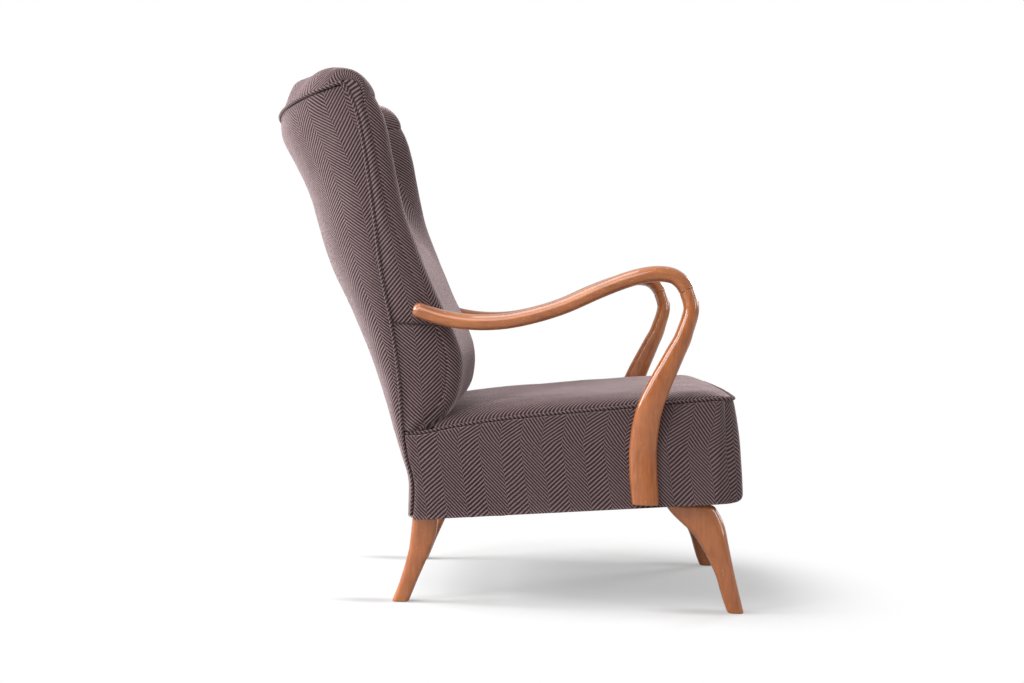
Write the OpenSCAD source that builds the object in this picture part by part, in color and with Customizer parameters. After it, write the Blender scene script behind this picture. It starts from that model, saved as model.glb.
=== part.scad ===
// Fireside chair: a sprung seat and a wrap-round back on a beech frame, with show-wood arms and sabre legs.
// The chair faces -Y and +Z is up. Its origin is on the floor, under the middle of its outer box.

/* [Seat] */
// Width over the side covers at the front of the seat
seat_front_w = 600; // [560:5:640]
// Width over the side covers at the back of the seat
seat_rear_w = 568; // [540:2:590]
// Depth from the front piping to the foot of the side seams
seat_depth = 589; // [560:1:620]
// Height of the front piping above the floor
seat_front_h = 386; // [376:1:396]
// Height of the rear end of the side piping above the floor
seat_rear_h = 307; // [300:1:314]
// Rise of the seat's crown above the side piping
seat_crown = 38; // [30:1:46]
// Height of the underside above the floor, over the front legs
under_front_h = 197; // [189:1:205]
// Height of the underside above the floor, over the rear legs
under_rear_h = 158; // [152:1:164]
// How far the front face leans out towards its foot
seat_lean = 23; // [15:1:28]
// Bow of the front edge, seen from above
seat_bow = 6; // [2:1:12]
// Corner radius of the seat, seen from above
seat_corner_r = 28; // [20:1:36]

/* [Back] */
// Width over the side seams at the top of the back
back_top_w = 584; // [566:2:600]
// Height of the side seams, from the underside to the top corners
back_h = 773; // [740:1:790]
// How far the side seams rake back, from the seat to the top corners
side_rake = 118; // [100:1:136]
// How far the outside back bows out behind the top corners
back_bow = 142; // [134:1:150]
// Fall of the top seam towards the rear, in degrees
top_fall = 20; // [17:0.5:22]
// Fall of the padded top towards the rear, in degrees
crest_fall = 10.6; // [8:0.2:12]
// Depth from the side seam to the front of the lumbar
lumbar_depth = 117; // [110:1:124]
// How far the middle lies behind the wings, near the top
wing_depth = 122; // [100:1:128]
// Radius of the wings' front edges
wing_nose_r = 26; // [20:1:30]
// Height above the floor of the seam between wing border and lumbar side
wing_seam_h = 504; // [490:1:520]
// Rise of the padded top over its seam
top_roll = 43; // [36:1:46]
// Height over which the padded top rounds over
top_round = 50; // [40:1:60]

/* [Buttons] */
// Diameter of a covered button
button_d = 22; // [16:1:28]
// Height of the buttons above the floor
button_h = 700; // [680:1:720]
// Depth of the pull in the padding at a button
tuft_depth = 14; // [8:1:18]
// Radius over which the padding is pulled in
tuft_r = 42; // [34:1:56]

/* [Arms] */
// Reach of an armrest, from its rear tip to its joint with the support
arm_reach = 477; // [460:1:490]
// Height of the rear tip's middle above the floor
arm_tip_h = 531; // [520:1:540]
// Rise of the arm's bend over its rear tip
arm_rise = 70; // [60:1:80]
// Distance between the middles of the two arms at the bend
arm_span = 670; // [650:2:690]
// Thickness of an armrest, seen from the side
arm_t = 28; // [24:1:32]
// Width of an armrest, seen from above
arm_w = 44; // [38:1:50]
// Width of a support's foot, seen from the side
support_w = 50; // [44:1:54]
// Thickness of a support's foot, seen from the front
support_t = 25; // [22:1:28]
// Height of a support's foot above the floor
support_foot_h = 194; // [190:1:204]

/* [Legs] */
// Distance between the front feet, centre to centre
front_track = 534; // [520:2:540]
// Distance between the rear feet, centre to centre
rear_track = 490; // [470:2:510]
// Length of a front leg's top, seen from the side
front_leg_top = 88; // [80:1:94]
// Length of a front foot, seen from the side
front_foot_l = 29; // [24:1:34]
// How far a front toe reaches forward of its leg's top
front_sweep = 62; // [50:1:70]
// Length of a rear leg's top, seen from the side
rear_leg_top = 46; // [42:1:50]
// Length of a rear foot, seen from the side
rear_foot_l = 31; // [26:1:34]
// How far a rear heel reaches behind its leg's top
rear_sweep = 35; // [25:1:45]
// Thickness of a front leg's top, seen from the front
leg_top_t = 42; // [36:1:44]
// Thickness of a foot, seen from the front
foot_t = 28; // [24:1:32]

/* [Frame] */
// Thickness of the seat rails and of the arm rail
rail_t = 26; // [24:1:28]
// Height of the seat rails
rail_h = 70; // [64:1:76]
// Thickness of a back post
post_t = 28; // [26:1:30]
// Thickness of the bent rails
bent_rail_t = 18; // [16:1:20]
// Height of the top rail and of the arm rail
back_rail_h = 44; // [38:1:48]
// Diameter of the dowels
dowel_d = 10; // [8:1:11]
// Diameter of the bolts in arms and legs
bolt_d = 8; // [6:1:9]
// Diameter of the bolt heads
bolt_head_d = 18; // [14:1:20]
// Thickness of the bolt heads
bolt_head_t = 5; // [4:1:6]
// Depth of a dowel or a thread in the wood on each side of its joint
grip = 24; // [20:1:26]
// Leg length of the seat's corner blocks
block_l = 62; // [50:1:66]

/* [Upholstery] */
// Thickness of the cover
cover_t = 3; // [2:0.5:3.5]
// Thickness of the padding on the sides
edge_pad = 14; // [12:1:16]
// Thickness of the padding over the arm rail
back_pad_t = 60; // [54:1:66]
// Diameter of the piping
piping_d = 8; // [7:0.5:9]
// Swell of the wing borders
border_swell = 5; // [2:1:8]
// Width of a webbing strap
strap_w = 50; // [44:1:54]
// Thickness of the webbing, the hessian and the dust cover
strap_t = 2; // [1.5:0.5:2.5]
// Height of the seat springs
spring_h = 122; // [116:1:126]
// Diameter of the springs over their end turns
spring_d = 84; // [76:1:92]
// Wire diameter of the springs
wire_d = 4; // [3:0.5:5]

/* [Hidden] */

wood = "#a9663c";
beech = "#d8b98c";
cloth = "#5c494c";
foam = "#e6dcc0";
jute = "#b79a6b";
black_cloth = "#2b2a2c";
steel = "#9a9ca0";

// Clearances: touch lies between soft or curved faces, play round a bolt, and overrun takes a cut past a face
touch = 0.3;
play = 0.3;
overrun = 1;

// Place shares run from 0 at a curve's start to 1 at its end, and value shares follow the named size
seam_shares = [[0, -0.17], [0.08, -0.17], [0.14, -0.07], [0.2, 0], [0.32, 0.07], [0.45, 0.21],
    [0.56, 0.37], [0.7, 0.51], [0.86, 0.69], [0.94, 0.82], [1, 1]];
bow_shares = [[0, 0.1], [0.1, 0.11], [0.2, 0.2], [0.32, 0.39], [0.49, 0.64], [0.64, 0.84], [0.78, 0.935],
    [0.88, 1.062], [0.95, 1.12], [1, 1.02]];
fall_shares = [[0, 0], [0.5, 0.1], [0.8, 0.6], [1, 1]];
nose_shares = [[0, 0.45], [0.2, 0.45], [0.226, 0.6], [0.26, 0.8], [0.3, 0.92], [0.37, 1], [0.44, 0.92],
    [0.49, 0.83], [0.545, 0.74], [0.62, 0.6], [0.7, 0.47], [0.78, 0.42], [0.9, 0.395], [1, 0.335]];
hollow_shares = [[0, 0], [0.5, 0], [0.58, 0.01], [0.64, 0.07], [0.705, 0.22], [0.77, 0.42], [0.834, 0.68],
    [0.9, 0.9], [0.95, 1], [1, 1.08]];
post_front_shares = [[0, 0.374], [0.1, 0.374], [0.15, 0.24], [0.2, 0.15], [0.24, 0.32], [0.27, 0.45],
    [0.3, 0.54], [0.4, 0.64], [0.482, 0.57], [0.56, 0.42], [0.64, 0.27], [0.74, 0.13], [0.86, 0.07],
    [1, 0.02]];
post_rear_shares = [[0, 0.12], [0.2, 0.2], [0.5, 0.3], [1, 0.3]];
rail_end_share = 0.3;
wing_start_share = 0.66;
plan_share = 0.784;
welt_shares = [[0, 0], [0.05, 0.015], [0.2, 0.145], [0.5, 0.41], [0.7, 0.605], [0.85, 0.805],
    [0.94, 0.965], [1, 1]];
crown_shares = [[0, 0], [0.02, 0.16], [0.055, 0.39], [0.085, 0.53], [0.13, 0.63], [0.22, 0.72], [0.45, 0.82],
    [0.7, 0.92], [0.85, 1], [1, 1]];
arm_path_shares = [[0, [0, 0]], [0.105, [0.107, -0.213]], [0.212, [0.22, -0.298]], [0.319, [0.333, -0.255]],
    [0.428, [0.444, -0.085]], [0.539, [0.556, 0.177]], [0.675, [0.686, 0.596]], [0.788, [0.797, 0.9]],
    [0.871, [0.883, 1.03]], [0.929, [0.949, 0.995]], [0.97, [0.984, 0.82]], [1, [1, 0.65]]];
arm_splay_shares = [[0, 0], [0.1, 0.05], [0.35, 0.45], [0.6, 0.85], [0.8, 1], [1, 1]];
arm_width_shares = [[0, 0.5], [0.008, 0.66], [0.03, 0.76], [0.2, 0.82], [0.5, 0.95], [0.75, 1], [0.9, 0.94],
    [1, 0.8]];
arm_thick_shares = [[0, 0.72], [0.008, 0.92], [0.03, 0.98], [0.06, 1], [1, 1]];
arm_ring_shares = [0, 0.004, 0.014, 0.034, 0.1, 0.17, 0.24, 0.31, 0.38, 0.45, 0.52, 0.59, 0.66, 0.73, 0.79,
    0.84, 0.88, 0.91, 0.94, 0.97, 1];
support_path_shares = [[0, 0], [0.066, -0.13], [0.102, -0.127], [0.152, -0.06], [0.184, 0], [0.231, 0.08],
    [0.278, 0.21], [0.325, 0.33], [0.37, 0.45], [0.465, 0.69], [0.562, 0.88], [0.7, 0.99], [0.835, 0.98],
    [1, 0.89]];
support_width_shares = [[0, 0], [0.15, 0.03], [0.231, 0.15], [0.3, 0.31], [0.37, 0.45], [0.465, 0.64],
    [0.562, 0.82], [0.7, 0.95], [0.9, 1], [1, 0.9]];
support_ring_shares = [0, 0.03, 0.066, 0.1, 0.14, 0.184, 0.23, 0.3, 0.37, 0.465, 0.562, 0.7, 0.85, 1];
support_sweep_share = 0.14;
front_edge_shares = [[0, 0], [0.25, 0.21], [0.43, 0.355], [0.63, 0.5], [0.8, 0.63], [0.906, 0.79], [1, 1]];
front_length_shares = [[0, 0], [0.06, 0.04], [0.18, 0.07], [0.335, 0.1], [0.54, 0.28], [0.707, 0.53],
    [0.817, 0.83], [0.906, 1], [1, 1]];
rear_edge_shares = [[0, 0], [0.17, 0.31], [0.385, 0.6], [0.6, 0.83], [0.83, 0.943], [1, 1]];
rear_length_shares = [[0, 0], [0.21, 0], [0.42, 0.27], [0.63, 0.67], [0.81, 1], [1, 1]];
leg_ring_shares = [-0.05, 0, 0.06, 0.18, 0.335, 0.45, 0.54, 0.63, 0.707, 0.76, 0.817, 0.86, 0.906, 0.95,
    1, 1.15];

// The front piping is the line that places along the seat are measured from
front_leg_share = 0.127;
rear_leg_share = 0.927;
seat_end_share = 0.905;
support_share = 0.277;
front_leg_y = seat_depth * front_leg_share;
rear_leg_y = seat_depth * rear_leg_share;
seat_end_y = seat_depth * seat_end_share;
toe_y = front_leg_y - front_leg_top / 2 - front_sweep;
rear_most_y = seat_depth + side_rake + bow(1) + piping_d - cover_t;
mid_y = (toe_y + rear_most_y) / 2;

under_tilt = atan((under_front_h - under_rear_h) / (rear_leg_y - front_leg_y));
channel = piping_d / 2 + touch;
back_half = seat_rear_w / 2;
post_out = back_half - cover_t - edge_pad;
post_in = post_out - post_t;
hessian_top = spring_h + 2 * touch + strap_t;
big = seat_front_w + back_h;

// Smooth step from 0 to 1
function blend(t) = let(c = min(1, max(0, t))) c * c * (3 - 2 * c);
function mix(a, b, t) = a + (b - a) * t;
function root(v, p) = sign(v) * pow(abs(v), p);

// Value of a smooth curve through a table of [place, value] rows
function row_at(table, t, i = 0) = (i >= len(table) - 2 || t < table[i + 1][0]) ? i : row_at(table, t, i + 1);
function tangent(table, i) = let(a = max(0, i - 1), b = min(len(table) - 1, i + 1))
    (table[b][1] - table[a][1]) / (table[b][0] - table[a][0]);
function curve_at(table, t) = let(
        i = row_at(table, t),
        h = table[i + 1][0] - table[i][0],
        u = min(1, max(0, (t - table[i][0]) / h)),
        rise = u * u * (3 - 2 * u))
    table[i][1] * (1 - rise) + table[i + 1][1] * rise
        + h * (tangent(table, i) * u * (1 - u) * (1 - u) - tangent(table, i + 1) * u * u * (1 - u));

// A grid moved along its own normals
function grid_normal(grid, i, j) = let(
        rows = len(grid) - 1,
        cols = len(grid[0]) - 1,
        along = grid[min(rows, i + 1)][j] - grid[max(0, i - 1)][j],
        across = grid[i][min(cols, j + 1)] - grid[i][max(0, j - 1)],
        n = cross(along, across))
    n / norm(n);
function moved(grid, d) = [for (i = [0:len(grid) - 1]) [for (j = [0:len(grid[0]) - 1])
    grid[i][j] + d * grid_normal(grid, i, j)]];

// A closed solid between two grids with the same rows and columns. With rows upwards and columns to the left
// of the chair, the first grid is the rear one.
module panel(skin, lining) {
    rows = len(skin);
    cols = len(skin[0]);
    count = rows * cols;
    function at(i, j) = i * cols + j;
    function quad(a, b, c, d) = [[a, b, c], [a, c, d]];
    outer = [for (i = [0:rows - 2], j = [0:cols - 2])
        each quad(at(i, j), at(i, j + 1), at(i + 1, j + 1), at(i + 1, j))];
    inner = [for (f = outer) [f[2] + count, f[1] + count, f[0] + count]];
    ends = [for (j = [0:cols - 2]) each concat(
        quad(at(0, j), at(0, j) + count, at(0, j + 1) + count, at(0, j + 1)),
        quad(at(rows - 1, j), at(rows - 1, j + 1), at(rows - 1, j + 1) + count, at(rows - 1, j) + count))];
    sides = [for (i = [0:rows - 2]) each concat(
        quad(at(i, 0), at(i + 1, 0), at(i + 1, 0) + count, at(i, 0) + count),
        quad(at(i, cols - 1), at(i, cols - 1) + count, at(i + 1, cols - 1) + count, at(i + 1, cols - 1)))];
    polyhedron([for (grid = [skin, lining], row = grid, p = row) p], concat(outer, inner, ends, sides),
        convexity = 8);
}

// A closed solid through a row of rings
module loft(rings) {
    n = len(rings[0]);
    last = (len(rings) - 1) * n;
    walls = [for (i = [0:len(rings) - 2], j = [0:n - 1]) let(
            a = i * n + j,
            b = i * n + (j + 1) % n)
        each [[a, b + n, b], [a, a + n, b + n]]];
    caps = [[for (j = [0:n - 1]) j], [for (j = [n - 1:-1:0]) last + j]];
    polyhedron([for (ring = rings, p = ring) p], concat(walls, caps), convexity = 6);
}

// A soft-cornered section, w along its side direction and h along its other
function section(centre, side, up, w, h, n = 12, square = 0.62) = [for (k = [0:n - 1]) let(a = 360 * k / n)
    centre + side * w / 2 * root(cos(a), square) + up * h / 2 * root(sin(a), square)];

// A round tube along a list of points
function unit(v) = v / norm(v);
function heading(path, i) = unit(path[min(len(path) - 1, i + 1)] - path[max(0, i - 1)]);
module tube(path, d, sides = 6, lean = [0, 0, 1]) {
    loft([for (i = [0:len(path) - 1]) let(
            t = heading(path, i),
            side = unit(cross(lean, t)),
            up = cross(t, side))
        section(path[i], side, up, d, d, sides, 1)]);
}

// Stands the chair over the origin
module chair() { translate([0, -mid_y, 0]) children(); }
module both() { children(); mirror([1, 0, 0]) children(); }
module side(left) { mirror([left ? 0 : 1, 0, 0]) children(); }

// The plane of the seat's underside, and slabs at heights above it
function under_z(y) = under_front_h - (y - front_leg_y) * tan(under_tilt);
module on_underside() { translate([0, front_leg_y, under_front_h]) rotate([-under_tilt, 0, 0]) children(); }
module slab(low, high) { on_underside() translate([-big, -big, low]) cube([2 * big, 2 * big, high - low]); }
module prism(low, high) {
    intersection() {
        linear_extrude(height = big) children();
        slab(low, high);
    }
}

// Seat: half width, side piping line and rim, seen from above
function seat_half(y) = mix(seat_front_w, seat_rear_w, y / seat_depth) / 2;
function side_top(y) = mix(seat_front_h, seat_rear_h, curve_at(welt_shares, y / seat_depth));
rim_side_shares = [1, 0.9, 0.75, 0.6, 0.45, 0.3, 0.15];
rim_corner_shares = [0, 0.33, 0.67, 1];
rim_front_shares = [0.6, 0.2];
rim_half = concat(
    [for (g = rim_side_shares) [seat_half(g * seat_depth), g * seat_depth, 0]],
    [for (g = rim_corner_shares) let(x = seat_half(0) - seat_corner_r)
        [x + seat_corner_r * cos(90 * g), seat_corner_r * (1 - sin(90 * g)), blend(1.5 * g)]],
    [for (g = rim_front_shares) [(seat_half(0) - seat_corner_r) * g, -seat_bow * (1 - g * g), 1]]);
rim = concat(rim_half,
    [for (k = [len(rim_half) - 1:-1:0]) [-rim_half[k][0], rim_half[k][1], rim_half[k][2]]]);

// Front face: it leans out towards its foot, and rounds in under the front edge
front_curl_share = 0.5;
function boxing_low(p) = under_z(p[1]) - cover_t;
function boxing_high(p) = side_top(p[1]) - channel;
function boxing_point(p, z) = let(
        low = boxing_low(p),
        share = 1 - (z - low) / (seat_front_h - low),
        curl = seat_corner_r * front_curl_share,
        q = max(0, 1 - (z - low) / curl),
        y = p[1] + p[2] * (curl * (1 - sqrt(1 - q * q)) - seat_lean * share))
    [p[0], min(y, seam_y(share_at(z)) - channel - touch), z];
boxing_row_shares = [0, 0.02, 0.055, 0.12, 0.4, 0.7, 1];
boxing_grid = [for (g = boxing_row_shares) [for (p = rim)
    boxing_point(p, mix(boxing_low(p), boxing_high(p), g))]];

// Seat top: g runs from front to rear and h from side to side
slant_share = 0.707;
top_inset = piping_d / 2 - cover_t + channel * slant_share;
seat_row_shares = [0, 0.02, 0.055, 0.11, 0.22, 0.36, 0.5, 0.64, 0.78, 0.905];
seat_col_shares = [-1, -0.97, -0.9, -0.74, -0.5, -0.25, 0, 0.25, 0.5, 0.74, 0.9, 0.97, 1];
function corner_inset(y) = y > seat_corner_r ? 0 : seat_corner_r - sqrt(seat_corner_r * seat_corner_r
    - (seat_corner_r - y) * (seat_corner_r - y));
function seat_top_z(x, y) = let(h = min(1, abs(x) / seat_half(y)))
    side_top(y) + channel * slant_share
        + seat_crown * curve_at(crown_shares, y / seat_depth) * pow(1 - pow(h, 4), 0.55);
function seat_point(g, h, inset, drop) = let(
        y = g * seat_depth,
        x = h * (seat_half(y) - corner_inset(y) - top_inset - inset),
        bow = (top_inset + inset - seat_bow * (1 - h * h)) * (1 - blend(4 * g)))
    [x, y + bow, seat_top_z(h * seat_half(y), y) - drop];
function seat_grid(inset, drop) = [for (g = seat_row_shares) [for (h = seat_col_shares)
    seat_point(g, h, inset, drop)]];

// Back: side seam, bow and fall of the outside back, at share s of its height
function seam_z(s) = under_rear_h + back_h * s;
function seam_y(s) = seat_depth + side_rake * curve_at(seam_shares, s);
function half_w(s) = mix(seat_rear_w, back_top_w, s) / 2;
function bow(s) = back_bow * curve_at(bow_shares, s);
function fall(s) = tan(top_fall * curve_at(fall_shares, s));
function outside_point(s, a) = let(d = bow(s) * pow(sin(a), plan_share))
    [half_w(s) * root(cos(a), plan_share), seam_y(s) + d, seam_z(s) - d * fall(s)];

// Inside of the back: columns run from 0 in the middle to 1 at the wing's front, then to nose_end outside it
nose_end = 1.3;
col_shares = [0, 0.16, 0.33, 0.5, 0.64, 0.74, 0.82, 0.9, 1, 1.1, 1.2, 1.3];
cols = concat([for (k = [len(col_shares) - 1:-1:1]) -col_shares[k]], col_shares);
front_row_shares = [0, 0.06, 0.14, 0.24, 0.34, 0.44, 0.54, 0.6, 0.66, 0.74, 0.82, 0.91, 1];
roll_row_shares = [0.14, 0.3, 0.48, 0.66, 0.83, 1];
button_cols = [-0.5, 0, 0.5];
function nose_y(s) = seam_y(s) - lumbar_depth * curve_at(nose_shares, s);
function hollow(s) = wing_depth * max(0, curve_at(hollow_shares, s));
function inside_x(s, c) = let(r = wing_nose_r, u = abs(c))
    u <= 1 ? c * (half_w(s) - r) : sign(c) * (half_w(s) - r + r * sin(90 * (u - 1) / (nose_end - 1)));
function pull(s, c) = tuft_depth * max([for (b = button_cols)
    exp(-pow(norm([inside_x(s, c) - inside_x(s, b), seam_z(s) - button_h]) / tuft_r, 2))]);
function inside_y(s, c) = let(r = wing_nose_r, u = abs(c))
    u <= 1 ? nose_y(s) + hollow(s) * (1 - blend((u - wing_start_share) / (1 - wing_start_share))) + pull(s, c)
        : nose_y(s) + r * (1 - cos(90 * (u - 1) / (nose_end - 1)));
function share_at(z) = (z - under_rear_h) / back_h;
function meeting_z(c, z, turns) = turns == 0 ? z : let(s = share_at(z))
    meeting_z(c, mix(z, seat_top_z(inside_x(s, c), inside_y(s, c)), 0.5), turns - 1);
function low_z(c) = meeting_z(c, side_top(seat_end_y) + seat_crown * (1 - min(1, c * c)), 8) + crease;
crease = 6 * touch;

// The padded top: each column rounds over from the front to the seam of the outside back
function seam_angle(c) = let(u = abs(c))
    u <= 1 ? 90 - 55 * u : 35 * pow(1 - (u - 1) / (nose_end - 1), 1.5);
function top_seam(c) = let(p = outside_point(1, seam_angle(c))) [sign(c) * abs(p[0]), p[1], p[2]];
function seam_out(c) = let(a = seam_angle(c)) unit([sign(c) * pow(cos(a), 2 - plan_share) / half_w(1),
    pow(sin(a), 2 - plan_share) / bow(1), 0]);
function border_end(c) = top_seam(c) + (channel + 2 * touch) * slant_share * ([0, 0, 1] - seam_out(c));
function crest_z(c) = seam_z(1) + channel - (top_seam(c)[1] - seam_y(1)) * tan(crest_fall)
    + (top_roll - channel)
    * mix(middle_roll_share, 1, min(1, c * c)) * (1 - pow(max(0, abs(c) - 1) / (nose_end - 1), 2));
function high_z(c) = crest_z(c) - top_round;
turn = 140;
middle_roll_share = 0.52;
function roll_between(start, top, end, v) = let(
        a = turn * v,
        h = (1 - cos(a)) / (1 - cos(turn)),
        crest = 1 / (1 - cos(turn)),
        z = a <= 90 ? top - (top - start[2]) * (1 - sin(a))
            : top - (top - end[2]) * pow((h - crest) / (1 - crest), 2.6))
    [mix(start[0], end[0], h), mix(start[1], end[1], h), z];
function roll_point(c, v) = roll_between(front_point(c, 1), crest_z(c), border_end(c), v);
function front_point(c, g) = let(z = mix(low_z(c), high_z(c), g), s = share_at(z))
    [inside_x(s, c), inside_y(s, c), z];
front_grid = [for (g = front_row_shares) [for (c = cols) front_point(c, g)]];
roll_grid = [for (v = roll_row_shares) [for (c = cols) roll_point(c, v)]];
body_grid = concat(front_grid, roll_grid);
split = len(front_row_shares);
// The same skin a little further in: the front along its normals, the roll between moved ends
function body_inside(d) = let(
        front = [for (i = [0:split - 1]) [for (j = [0:len(cols) - 1])
            body_grid[i][j] + d * grid_normal(body_grid, i, j)]])
    concat(front, [for (v = roll_row_shares) [for (j = [0:len(cols) - 1]) let(c = cols[j])
        roll_between(front[split - 1][j], crest_z(c) - d,
            border_end(c) - d * slant_share * ([0, 0, 1] + seam_out(c)), v)]]);

// Posts and rails of the back
function post_front_y(s) = seam_y(s) - lumbar_depth * curve_at(post_front_shares, s);
function post_rear(s) = bow(s) * curve_at(post_rear_shares, s);
carcass_drop = channel + cover_t + 1.4 * bent_rail_t;
carcass_top = 1 - carcass_drop / back_h;
function rail_rear(s, x) = let(
        u = min(1, abs(x) / post_in),
        deep = bow(s) - cover_t - 9 * touch,
        edge = rail_end_share * bow(s))
    mix(deep, edge, pow(u, 4));
function rail_front(s, x) = let(
        u = min(1, abs(x) / post_in),
        slope = 4 * (rail_rear(s, 0) - rail_rear(s, post_in)) * pow(u, 3) / post_in)
    rail_rear(s, x) - bent_rail_t * sqrt(1 + slope * slope);
function rail_point(s, x, d) = [x, seam_y(s) + d, seam_z(s) - d * fall(s)];
module bent_rail(low, high) {
    at = two_sided(concat([for (k = [0:len(web_cols) - 2]) web_cols[k]], rail_end_shares));
    front = [for (s = [low, high]) [for (h = at) rail_point(s, h * post_in, rail_front(s, h * post_in))]];
    rear = [for (s = [low, high]) [for (h = at) rail_point(s, h * post_in, rail_rear(s, h * post_in))]];
    panel(rear, front);
}
rail_end_shares = [0.86, 0.94, 1];
function two_sided(row) = concat([for (k = [len(row) - 1:-1:1]) -row[k]], row);

// Columns of the webbing and of all that lies on it: the middle and the edges of each strap
back_strap_shares = [0.22, 0.66];
strap_half = strap_w / 2 / post_in;
web_cols = concat([0], [for (h = back_strap_shares) each [h - strap_half, h, h + strap_half]], [1]);
top_rail_low = carcass_top - back_rail_h / back_h;
rear_rail_high = share_at(under_rear_h + rail_h);

// The arm rail runs straight from post to post, at the height of the armrests' ends
arm_rail_s = share_at(arm_tip_h);
arm_rail_y = inside_y(arm_rail_s, 0) + cover_t + back_pad_t;

// The back webbing and its hessian run straight from the seat rail over the arm rail to the top rail
levels = [0, rear_rail_high, arm_rail_s - back_rail_h / 2 / back_h, arm_rail_s + back_rail_h / 2 / back_h,
    top_rail_low, carcass_top];
function on_arm_rail(k) = k == 2 || k == 3;
function level_y(k, x) = on_arm_rail(k) ? arm_rail_y : seam_y(levels[k]) + rail_front(levels[k], x);
function level_z(k, x) = on_arm_rail(k) ? seam_z(levels[k])
    : seam_z(levels[k]) - rail_front(levels[k], x) * fall(levels[k]);
function level_point(k, x, ahead) = [x, level_y(k, x) - ahead, level_z(k, x)];
function web_point(r, x, ahead) = let(k = min(floor(r), len(levels) - 2))
    mix(level_point(k, x, ahead), level_point(k + 1, x, ahead), r - k);

// Arms: centre line, in the side view, and its distance from the middle plane
arm_tip_share = 0.42;
arm_tip_s = share_at(arm_tip_h);
arm_tip_y = seam_y(arm_tip_s) - arm_tip_share * lumbar_depth;
arm_tip_x = half_w(arm_tip_s) + border_swell + touch + arm_w * curve_at(arm_width_shares, 0.2) / 2;
function arm_at(t) = let(p = curve_at(arm_path_shares, t))
    [mix(arm_tip_x, arm_span / 2, curve_at(arm_splay_shares, t)), arm_tip_y - arm_reach * p[0],
        arm_tip_h + arm_rise * p[1]];
step = 0.01;
function arm_heading(t) = let(v = arm_at(min(1, t + step)) - arm_at(max(0, t - step))) unit([0, v[1], v[2]]);
function arm_ring(t) = let(v = arm_heading(t))
    section(arm_at(t), [1, 0, 0], [0, v[2], -v[1]], arm_w * curve_at(arm_width_shares, t),
        arm_t * curve_at(arm_thick_shares, t));
joint = arm_at(1);
joint_way = arm_heading(1);

// Supports: from the arm's joint down to a foot on the side of the seat
support_y = joint[1];
support_sweep = support_sweep_share * arm_reach;
foot_x = seat_half(seat_depth * support_share) + touch + support_t / 2;
function support_at(t) = [mix(foot_x, joint[0], pow(1 - t, 2) * (1 + 2 * t) * (1 - blend((t - 0.5) * 3))),
    support_y + support_sweep * curve_at(support_path_shares, t), mix(joint[2], support_foot_h, t)];
function support_heading(t) = t == 0 ? joint_way : let(
        v = support_at(min(1, t + step)) - support_at(max(0, t - step)),
        way = unit([0, v[1], v[2]]),
        level = blend((t - 0.7) * 4))
    unit(mix(mix(joint_way, way, blend(t * 8)), [0, 0, -1], level));
function support_ring(t) = let(v = support_heading(t))
    section(support_at(t), [1, 0, 0], [0, v[2], -v[1]],
        mix(arm_w * curve_at(arm_width_shares, 1), support_t, blend(2 * t)),
        mix(arm_t, support_w, curve_at(support_width_shares, t)));

// Heights of the bolts: two through each side rail into a support, one through each post into an armrest
support_bolt_shares = [0.3, 0.72];
support_bolt_place_share = 0.8;
support_bolt_y = support_at(support_bolt_place_share)[1];
support_bolt_z = [for (g = support_bolt_shares) under_z(support_bolt_y) + rail_h * g];
arm_bolt_share = 0.022;
arm_bolt_y = arm_at(arm_bolt_share)[1];
arm_bolt_z = arm_at(arm_bolt_share)[2];

module armrest(left) {
    color(wood) chair() side(left) difference() {
        loft([for (t = arm_ring_shares) arm_ring(t)]);
        arm_bolt_hole(play);
        dowel(joint, joint_way, play);
    }
}
module armrest_left() { armrest(true); }
module armrest_right() { armrest(false); }

module arm_support(left) {
    color(wood) chair() side(left) difference() {
        loft([for (t = support_ring_shares) support_ring(t)]);
        support_bolt_holes(play);
        dowel(joint, joint_way, play);
    }
}
module arm_support_left() { arm_support(true); }
module arm_support_right() { arm_support(false); }

// A dowel centred on a point, along a direction
module dowel(p, way, gap = 0, reach = grip) {
    translate(p) rotate([0, acos(way[2]), atan2(way[1], way[0])])
        cylinder(h = 2 * (reach + gap), d = dowel_d + 2 * gap, center = true, $fn = 24);
}
module arm_dowels() {
    color(beech) chair() both() dowel(joint, joint_way);
}

// Bolts run outwards: their heads bear on the inner faces of post and side rail
module bolt(x, y, z, length, gap = 0) {
    translate([x, y, z]) rotate([0, 90, 0]) {
        translate([0, 0, -overrun * sign(gap)])
            cylinder(h = length + gap + overrun * sign(gap), d = bolt_d + 2 * gap, $fn = 24);
        translate([0, 0, -bolt_head_t - gap])
            cylinder(h = bolt_head_t + gap, d = bolt_head_d + 2 * gap, $fn = 24);
    }
}
arm_bolt_l = arm_tip_x - post_in;
rail_in_x = seat_half(support_bolt_y) - cover_t - edge_pad - rail_t;
support_bolt_l = foot_x - rail_in_x;
module arm_bolt_hole(gap = 0) { bolt(post_in, arm_bolt_y, arm_bolt_z, arm_bolt_l, gap); }
module support_bolt_holes(gap = 0) {
    for (z = support_bolt_z) bolt(rail_in_x - touch, support_bolt_y, z, support_bolt_l, gap);
}
module arm_bolts() {
    color(steel) chair() both() {
        arm_bolt_hole();
        support_bolt_holes();
    }
}

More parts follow.
